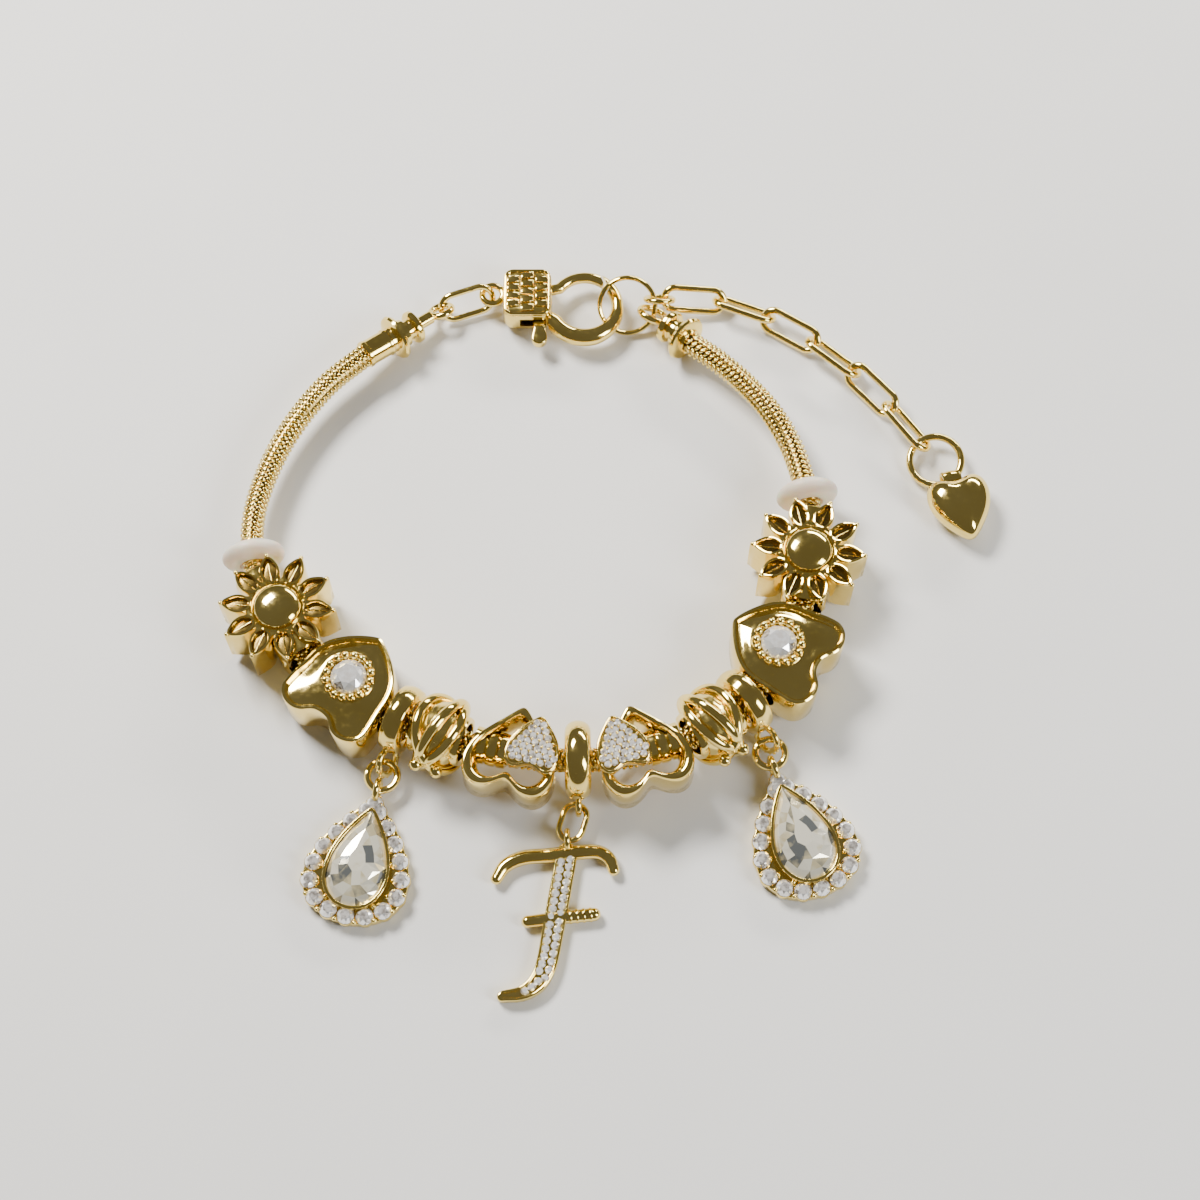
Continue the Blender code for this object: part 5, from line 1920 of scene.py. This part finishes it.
@dataclass
class LetterCharm:
    """A slanted capital of polished bars with curled ends; its stem holds two rows of small stones."""

    grip: Vector
    height: float = 17.0
    thick: float = 1.5
    lift: float = 0.8
    stem: tuple[Triple, ...] = (
        (0.0, -0.03, 0.9),
        (-0.045, -0.30, 0.95),
        (-0.09, -0.56, 0.95),
        (-0.13, -0.78, 0.9),
        (-0.19, -0.91, 0.75),
        (-0.29, -0.98, 0.5),
        (-0.42, -1.0, 0.3),
    )
    top: tuple[Triple, ...] = (
        (-0.47, -0.21, 0.35),
        (-0.41, -0.12, 0.5),
        (-0.29, -0.065, 0.55),
        (-0.12, -0.05, 0.55),
        (0.06, -0.03, 0.55),
        (0.20, -0.025, 0.5),
        (0.28, -0.07, 0.45),
        (0.31, -0.15, 0.35),
    )
    middle: tuple[Triple, ...] = (
        (-0.26, -0.50, 0.45),
        (-0.06, -0.475, 0.5),
        (0.18, -0.45, 0.5),
    )

    def line(self, rows: Sequence[Triple], count: int) -> tuple[list[Vector], list[float]]:
        """A smooth centre line.

        Args:
            rows: x and y as shares of the height, and half the width.
            count: the number of points.

        Returns:
            The points, and half the width at each.
        """
        route = self.route(rows)
        distances = [route.length * index / (count - 1) for index in range(count)]
        knots = [route.knot(index) for index in range(len(rows))]
        widths = [float(np.interp(distance, knots, [row[2] for row in rows])) for distance in distances]
        return [route.at(distance) for distance in distances], widths

    def route(self, rows: Sequence[Triple]) -> Route:
        """The curve through rows of x and y."""
        return Route([Vector((x * self.height, y * self.height, 0.0)) + LAYOUT_CENTRE for x, y, _ in rows])

    @staticmethod
    def sides(points: Line) -> list[Vector]:
        """The way to the left at each point of a line.

        Args:
            points: its points.

        Returns:
            The points.
        """
        after = [*points[1:], points[-1]]
        before = [points[0], *points[:-1]]
        return [aside((last - first).normalized()) for first, last in zip(before, after)]

    def stroke(self, rows: Sequence[Triple], grow: float) -> list[Vector]:
        """The outline of a bar with round ends.

        Args:
            rows: the bar's centre line and half widths.
            grow: how much wider it is on each side.

        Returns:
            The outline.
        """
        points, widths = self.line(rows, 28)
        sides = [side * (width + grow) for side, width in zip(self.sides(points), widths)]
        left = [point + side for point, side in zip(points, sides)]
        right = [point - side for point, side in zip(points, sides)]
        caps = []
        for at, beside in ((-1, -2), (0, 1)):
            way = (points[at] - points[beside]).normalized()
            head = math.degrees(math.atan2(way.y, way.x))
            caps.append(arc(points[at], widths[at] + grow, head + 60, head - 60, 5))
        return [*left, *caps[0], *right[::-1], *caps[1]]

    def build(self, finishes: Finishes) -> None:
        """Builds the bars, the stem's edges and stones, the ridges, the curls and the eye.

        Args:
            finishes: the materials.
        """
        frame = Matrix.Translation((self.grip.x, self.grip.y - self.lift, 0.0))
        stem = Bench.plate("letter_stem_fine", [self.stroke(self.stem, 0.3)], 0.0, self.thick - 0.3, 0.25)
        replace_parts(finishes.polish(stem, frame), "letter_charm")
        points, widths = self.line(self.stem, 40)
        for side in (-1, 1):
            edge = []
            for point, out, width in zip(points, self.sides(points), widths):
                edge.append(point + out * side * max(width + 0.1, 0.05))
            rail = Bench.tube(f"letter_rail_{side + 2}", raised(edge, self.thick - 0.28), 0.21, sides=10)
            finishes.polish(rail, frame)
        for name, rows, high in (("top", self.top, 1.74), ("middle", self.middle, 1.52)):
            bar, shares = self.line(rows, 40)
            bar = raised(bar, high / 2)
            swell = [high * (0.6 * share / max(shares) + 0.4) for share in shares]
            tube = Bench.tube(f"letter_{name}_bar", bar, 0.5, sides=16, shares=swell)
            finishes.polish(tube, frame, 50)
            ends = [Matrix.Translation(bar[at]) @ Matrix.Scale(0.5 * swell[at], 4) for at in (0, -1)]
            finishes.grains(f"letter_{name}_ends", (1.0, 20, 14), ends, frame)
        self.inlay(finishes, frame)

    def inlay(self, finishes: Finishes, frame: Matrix) -> None:
        """The stem's two rows of stones, the middle bar's ridges and the eye.

        Args:
            finishes: the materials.
            frame: its place in millimetres.
        """
        route = self.route(self.stem[:6])
        count, paired, apart = 19, 16, 0.5
        spots = []
        for index in range(count):
            distance = route.length * (index + 0.6) / count
            out = aside((route.at(distance + 0.1) - route.at(distance - 0.1)).normalized())
            for side in (-1, 1) if index < paired else (0,):
                spots.append(route.at(distance + 0.2 * side) + out * side * apart)
        finishes.stones("letter_stones", (0.47, 0.58), raised(spots, self.thick - 0.48), frame)
        ridge = Bench.ball("ridge", 1.0, 16, 12)
        Bench.move(ridge, Matrix.Diagonal((0.42, 0.86, 0.78, 1.0)))
        bar, _ = self.line(self.middle, 60)
        frames = [aimed(Vector((*bar[at].xy, 0.78)), bar[at + 1] - bar[at - 1]) for at in (38, 44, 50, 56)]
        finishes.polish(Bench.scatter("letter_ridges", ridge, frames), frame, 60)
        place = Matrix.Translation((0.0, self.lift, self.grip.z)) @ ACROSS
        eye = Bench.tube("letter_eye", circle(1.0, 32), 0.34, ring=True)
        finishes.polish(eye, frame @ place)


@dataclass
class Clasp:
    """The cast lobster clasp with its raised bars, thick hook and sprung lever."""

    height: float = 2.3
    block: Triple = (6.0, 6.6, 4.0)
    block_place: tuple[float, float] = (-9.0, 39.4)
    eye_place: tuple[float, float] = (-13.4, 40.1)
    hook_centre: tuple[float, float] = (-1.9, 38.5)
    hole: float = 3.3
    thick: float = 2.2
    thin: float = 1.5
    gate: float = 1.4
    gap: float = 0.3
    pivot_place: tuple[float, float] = (-7.8, 39.8)
    split_place: tuple[float, float] = (0.1, 42.8)
    tab_end: tuple[float, float] = (-7.5, 33.2)
    swing: float = 16.0
    hub: float = 1.45
    lever: float = 1.2
    tail: tuple[float, float] = (1.28, 0.42)
    corner: float = 1.3
    pin: float = 0.5
    pin_hole: float = 0.75

    @staticmethod
    def spot(place: Sequence[float]) -> Vector:
        """A place of the layout in the clasp's own level."""
        return Vector((place[0] - LAYOUT_CENTRE.x, place[1] - LAYOUT_CENTRE.y, 0.0))

    @property
    def room(self) -> float:
        """Half the width of the slot that the lever moves in."""
        return self.gate / 2 + self.gap

    @staticmethod
    def frame_line(half: tuple[float, float], radius: float, height: float) -> list[Vector]:
        """A rectangle with round corners.

        Args:
            half: how far the corners' centres lie from the middle.
            radius: the corners' radius.
            height: its height.

        Returns:
            The outline.
        """
        line = []
        for x, y, head in ((-1, -1, 180), (1, -1, 270), (1, 1, 0), (-1, 1, 90)):
            line += arc(Vector((x * half[0], y * half[1], height)), radius, head, head + 90, 8)
        return line

    def split(self, keep_left: bool) -> Piece:
        """The cutter on one side of the slanting gap between hook and gate.

        Args:
            keep_left: whether the gate is kept, which lies left of the gap.

        Returns:
            The piece.
        """
        place = self.spot(self.split_place)
        arm = place - self.spot(self.pivot_place)
        heading = math.degrees(math.atan2(arm.y, arm.x)) - 90.0
        reach = 2.5
        cutter = Bench.plate("split", [box(-reach, reach, -self.gap / 2, reach)], -reach, reach, 0.001)
        turn = Matrix.Rotation(0.0 if keep_left else math.pi, 4, "Z")
        return Bench.move(cutter, level(place, heading) @ turn)

    def hook_line(self) -> tuple[list[Vector], list[float]]:
        """The hook's centre line from the block round to its tip, and its thickness along it.

        Returns:
            The points and the thickness at each.
        """
        middle = self.spot(self.block_place)
        points = [middle + Vector((self.block[0] * 0.25, -self.block[1] * 0.3, 0.0))]
        shares = [0.9]
        for step in range(57):
            turn = 212.0 + 226.0 * step / 56
            easing = min(1.0, max(0.0, (turn - 285.0) / 75.0))
            thick = self.thick + (self.thin - self.thick) * easing
            points.append(self.spot(self.hook_centre) + towards(turn) * (self.hole + thick / 2))
            shares.append(thick / self.thick)
        return points, shares

    def bars(self) -> list[list[Vector]]:
        """The raised bars of the block's face, three staggered columns of them.

        Returns:
            The outlines.
        """
        wide, tall = 0.80, 0.44
        outlines = []
        for column in range(3):
            count = 5 if column % 2 else 4
            for row in range(count):
                centre = Vector(((column - 1) * 1.78, (row - (count - 1) / 2) * 1.12, 0.0))
                slant = (0.12, -0.08, 0.03)[(row + 2 * column) % 3]
                bar = flat((-wide, -tall - slant), (wide, -tall + slant))
                bar += flat((wide, tall + slant), (-wide, tall - slant))
                outlines.append([centre + point for point in bar])
        return outlines

    def body(self) -> Piece:
        """The block with its slots for the lever.

        Returns:
            The piece.
        """
        middle = self.spot(self.block_place)
        width, length, depth = self.block
        outline = self.frame_line((width / 2 - self.corner, length / 2 - self.corner), self.corner, 0.0)
        block = Bench.plate("clasp_block", [outline], -depth / 2, depth / 2, 0.85)
        Bench.move(block, Matrix.Translation(middle))
        pivot = self.spot(self.pivot_place)
        below = middle.y - length / 2 - 1.0
        side = 0.8 + self.gap
        swing = (pivot.y - below) * math.sin(math.radians(self.swing))
        channel = flat((pivot.x - side - swing, below), (pivot.x + side, below))
        channel += flat((pivot.x + side, pivot.y), (pivot.x - side, pivot.y))
        gate = box(pivot.x - 0.5, middle.x + width / 2 + 1.0, pivot.y - 1.25, pivot.y + 2.4)
        hub = [pivot + point for point in circle(self.hub + self.gap, 40)]
        for outline, deep in ((channel, 0.8), (gate, self.room), (hub, self.room)):
            block = Bench.cut(block, Bench.plate("slot", [outline], -deep, deep, 0.02))
        return block

    def face(self, finishes: Finishes, frame: Matrix) -> None:
        """The raised bars in their rim on top of the block.

        Args:
            finishes: the materials.
            frame: its place in millimetres.
        """
        place = frame @ Matrix.Translation(self.spot(self.block_place))
        top = self.block[2] / 2
        bars = Bench.plate("clasp_bars", self.bars(), top - 0.3, top + 0.3, 0.16)
        finishes.polish(bars, place)
        line = self.frame_line((1.75, 2.05), 0.95, top - 0.12)
        finishes.polish(Bench.tube("clasp_rim", line, 0.24, ring=True, sides=10), place)

    def hook(self) -> Piece:
        """The thick hook, cut off at the gate's tip and slotted for the lever.

        Returns:
            The piece.
        """
        points, shares = self.hook_line()
        hook = Bench.tube("clasp_hook", points, self.thick / 2, sides=20, shares=shares)
        pivot = self.spot(self.pivot_place)
        side = 0.8 + 2 * self.gap
        slot = box(pivot.x - side, pivot.x + side, pivot.y - 7.0, pivot.y)
        channel = Bench.plate("slot", [slot], -self.room, self.room, 0.02)
        return Bench.cut(Bench.cut(hook, self.split(keep_left=False)), channel)

    def build(self, finishes: Finishes) -> None:
        """Builds the block, the face, the hook, the tail eye, the pin and the lever.

        Args:
            finishes: the materials.
        """
        frame = Matrix.Translation((0, 0, self.height))
        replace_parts(finishes.dress(self.body(), Look.CAST, frame, 32), "clasp_body")
        self.face(finishes, frame)
        finishes.polish(self.hook(), frame, 40)
        radius, wire = self.tail
        line = [self.spot(self.eye_place) + point for point in circle(radius, 32)]
        finishes.polish(Bench.tube("clasp_tail_eye", line, wire, ring=True), frame)
        end = self.room + 0.3
        pin = Bench.turned("clasp_pin", [(0.0, -end), (self.pin, -end), (self.pin, end), (0.0, end)], 32)
        place = frame @ Matrix.Translation(self.spot(self.pivot_place))
        finishes.polish(Bench.move(pin, STAND), place)
        self.build_lever(finishes, frame)

    def build_lever(self, finishes: Finishes, frame: Matrix) -> None:
        """Builds the lever: hub, thumb tab and gate arm, riding on its own body.

        Args:
            finishes: the materials.
            frame: its place in millimetres.
        """
        pivot = self.spot(self.pivot_place)
        half, edge = self.lever / 2, 38.0
        rings = ((self.hub, 40), (self.pin_hole, 32))
        outlines = [[pivot + point for point in circle(radius, count)] for radius, count in rings]
        hub = Bench.plate("clasp_lever_fine", outlines, -half, half, 0.1)
        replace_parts(finishes.polish(hub, frame, edge, LEVER_BODY), "clasp_lever")
        centre = self.spot(self.hook_centre)
        radius = self.hole + self.gate / 2
        points = [pivot + Vector((1.0, 0.75, 0.0))]
        points += [centre + towards(142.0 - 90.0 * step / 40) * radius for step in range(41)]
        arm = Bench.tube("clasp_gate", points, self.gate / 2, sides=16)
        gate = Bench.cut(arm, self.split(keep_left=True))
        finishes.polish(gate, frame, edge, LEVER_BODY)
        tab = self.spot(self.tab_end) - pivot
        outline = flat((0.8, -0.9), (tab.x + 0.75, tab.y + 1.9))
        outline += arc(Vector((tab.x, tab.y + 0.7, 0)), 0.98, 10, -190, 14)
        outline += flat((tab.x - 0.75, tab.y + 1.9), (-0.8, -0.9))
        thumb = Bench.plate("clasp_tab", [outline], -half, half, 0.2)
        finishes.polish(thumb, frame @ Matrix.Translation(pivot), edge, LEVER_BODY)


@dataclass
class Beads:
    """The beads of the chain, laid out from the centre ring towards both ends."""

    route: Route
    gap: float = 0.3
    centre_width: float = 3.3
    order: tuple[tuple[str, float], ...] = (
        ("open_heart", 10.8),
        ("knot_bead", 6.1),
        ("bail_ring", 2.9),
        ("halo_heart", 11.3),
        ("sunflower", 13.5),
        ("stopper", 3.1),
    )
    eyes: dict[str, Vector] = field(default_factory=dict)

    def build(self, finishes: Finishes) -> dict[str, Vector]:
        """Builds every bead and returns the places of the three eyes.

        Args:
            finishes: the materials.

        Returns:
            The eyes' places by side.
        """
        centre = self.route.knot(CENTRE_POINT)
        frame = self.route.frame(centre, self.centre_width / 2)
        ring = SpacerRing("bail_ring_center")
        self.eyes["center"] = ring.build(finishes, frame, frame.translation.z)
        for side, way in (("left", -1), ("right", 1)):
            distance = centre + way * self.centre_width / 2
            for kind, length in self.order:
                distance += way * (self.gap + length / 2)
                self.place(finishes, kind, side, way, distance, length)
                distance += way * length / 2
        return self.eyes

    def place(
        self, finishes: Finishes, kind: str, side: str, way: int, distance: float, length: float
    ) -> None:
        """Builds one bead.

        Args:
            finishes: the materials.
            kind: the bead's kind.
            side: the half of the bracelet that it is on.
            way: the direction in which that half runs along the route.
            distance: the bead's place along the route.
            length: its room on the route.
        """
        name = f"{kind}_{side}"
        frame = self.route.frame(distance, length / 2)
        if kind == "open_heart":
            OpenHeart(name, -way).build(finishes, self.route.frame(distance, length / 2, turn=way * 4.0))
        elif kind == "knot_bead":
            KnotBead(name, -way).build(finishes, frame)
        elif kind == "bail_ring":
            turned = self.route.frame(distance, length / 2, turn=-5.0 if way > 0 else 0.0)
            ring = SpacerRing(name, 8.2, 2.9, 1.5, 0.75, 2.0, way * 20.0, 2)
            self.eyes[side] = ring.build(finishes, turned, frame.translation.z)
        elif kind == "halo_heart":
            lifted_frame = frame @ Matrix.Translation((0, 0.4, 0))
            HaloHeart(name, f"halo_stone_{side}").build(finishes, lifted_frame)
        elif kind == "sunflower":
            Sunflower(name).build(finishes, frame)
        else:
            Stopper(name).build(finishes, frame)


@dataclass
class Studio:
    """The pale floor, the soft lights and the camera at the photograph's angle."""

    target: Triple = (-1.06, 2.45, 0.0)
    distance: float = 273.8
    elevation: float = 68.0
    lens: float = 69.0
    sensor: float = 36.0
    near: float = 0.01
    floor_half: float = 0.9
    floor_shift: float = 0.2
    floor_depth: float = 0.00003
    air: Colour = (0.27, 0.26, 0.23, 1.0)
    air_strength: float = 0.5
    lamps: tuple[tuple[str, Triple, tuple[float, float], float, Triple], ...] = (
        ("key_light", (-0.26, 0.28, 0.40), (0.22, 0.14), 7.0, (1.0, 0.97, 0.92)),
        ("fill_light", (0.40, -0.20, 0.30), (0.16, 0.26), 2.6, (0.93, 0.96, 1.0)),
        ("rim_light", (0.22, 0.44, 0.20), (0.36, 0.05), 2.2, (1.0, 0.98, 0.95)),
    )

    def look(self, place: Vector) -> Matrix:
        """A frame at a place in metres that looks at the target."""
        way = Vector(self.target) * MM - place
        return Matrix.Translation(place) @ way.to_track_quat("-Z", "Y").to_matrix().to_4x4()

    def lamp(self, name: str, place: Triple, size: tuple[float, float], watts: float, tint: Triple) -> None:
        """Adds one soft rectangular light.

        Args:
            name: its name.
            place: its place in metres.
            size: its width and height in metres.
            watts: its power.
            tint: its colour.
        """
        light = bpy.data.lights.new(name, "AREA")
        light.shape = "RECTANGLE"
        light.size, light.size_y = size
        light.energy = watts
        light.color = tint
        lamp = Bench.add(name, light)
        lamp.matrix_world = self.look(Vector(place))

    def build(self) -> None:
        """Builds the floor, the lights, the world and the camera."""
        half, shift = self.floor_half, self.floor_shift
        corners = raised(box(-half, half, shift - half, shift + half), -self.floor_depth)
        floor = Bench.shape("pale_floor", corners, [], [(0, 1, 2, 3)])
        floor.data.materials.append(Ground().make())
        for lamp in self.lamps:
            self.lamp(*lamp)
        world = bpy.context.scene.world or bpy.data.worlds.new("studio_air")
        bpy.context.scene.world = world
        world.use_nodes = True
        background = world.node_tree.nodes["Background"]
        background.inputs["Color"].default_value = self.air
        background.inputs["Strength"].default_value = self.air_strength
        camera = bpy.data.cameras.new("photo_camera")
        camera.lens = self.lens
        camera.sensor_width = self.sensor
        camera.clip_start = self.near
        rise = math.radians(self.elevation)
        away = Vector((0.0, -math.cos(rise), math.sin(rise))) * self.distance
        view = Bench.add("photo_camera", camera)
        view.matrix_world = self.look((Vector(self.target) + away) * MM)
        bpy.context.scene.camera = view


class Bracelet:
    """The whole bracelet."""

    def __init__(self, finishes: Finishes) -> None:
        """Keeps the finishes and lays out the chain's route."""
        self.finishes = finishes
        self.route = Route(CHAIN_ROUTE)

    def hang(self, name: str, eye: Vector, size: Triple, heading: float) -> Vector:
        """Builds a level ring hooked into an eye and returns the place where it holds the next eye.

        Args:
            name: the new piece's name.
            eye: the eye that it hooks into.
            size: its length, width and thickness.
            heading: its direction in degrees.

        Returns:
            The point.
        """
        length, width, thick = size
        reach = (length - thick) / 2
        grip = eye + towards(heading) * 0.05
        Loop(name, length, width, thick).build(self.finishes, level(grip + towards(heading) * reach, heading))
        return grip + towards(heading) * 2 * reach

    def build(self) -> None:
        """Builds every sub-assembly."""
        SnakeChain(self.route).build(self.finishes)
        eyes = Beads(self.route).build(self.finishes)
        EndCap("end_cap_left", (-19.75, 38.0, 1.95), 218.0, 8.5, 34.0, 2.3, 4.2, 1.3).build(self.finishes)
        EndCap("end_cap_right", (6.64, 37.5, 1.91), -45.0, 11.0, -40.0, 0.5, 0.5, 1.7).build(self.finishes)
        Clasp().build(self.finishes)
        self.clasp_rings()
        frame = Extender(Route(EXTENDER_ROUTE)).build(self.finishes)
        HeartDrop(frame, 3.1, 0.9).build(self.finishes)
        grip = self.hang("letter_ring", eyes["center"], (5.0, 3.4, 0.7), -107.0)
        LetterCharm(grip).build(self.finishes)
        for side, heading, lean in (("left", -107.0, -12.0), ("right", -80.0, 20.0)):
            grip = self.hang(f"drop_ring_{side}", eyes[side], (4.3, 4.3, 0.85), heading)
            Teardrop(side, grip, lean).build(self.finishes)

    def clasp_rings(self) -> None:
        """Builds the oval link on the clasp's tail and the big jump ring through its hook."""
        left = Vector((-19.75, 38.0, 1.95)) - LAYOUT_CENTRE
        right = Vector((-13.4, 40.1, 2.3)) - LAYOUT_CENTRE
        frame = aimed((left + right) / 2, right - left, roll=55.0)
        Loop("clasp_link", 7.4, 4.1, 0.8).build(self.finishes, frame)
        lean = math.radians(40.0)
        height = 0.45 + 3.45 * math.sin(lean) + 0.02
        place = Matrix.Translation(Vector((3.4, 38.4, height)) - LAYOUT_CENTRE)
        place = place @ Matrix.Rotation(lean, 4, "X")
        Loop("clasp_jump_ring", 7.8, 7.8, 0.9, coils=2).build(self.finishes, place)


def main() -> None:
    """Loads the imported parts, builds the fine model round them and sets the scene."""
    logging.basicConfig(level=logging.INFO, format="%(name)s: %(message)s")
    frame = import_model()
    LOG.info("loaded %d nodes", len(frame["nodes"]))
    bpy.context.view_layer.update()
    Bench.pick()
    Bracelet(Finishes()).build()
    Studio().build()


if __name__ == "__main__":
    main()
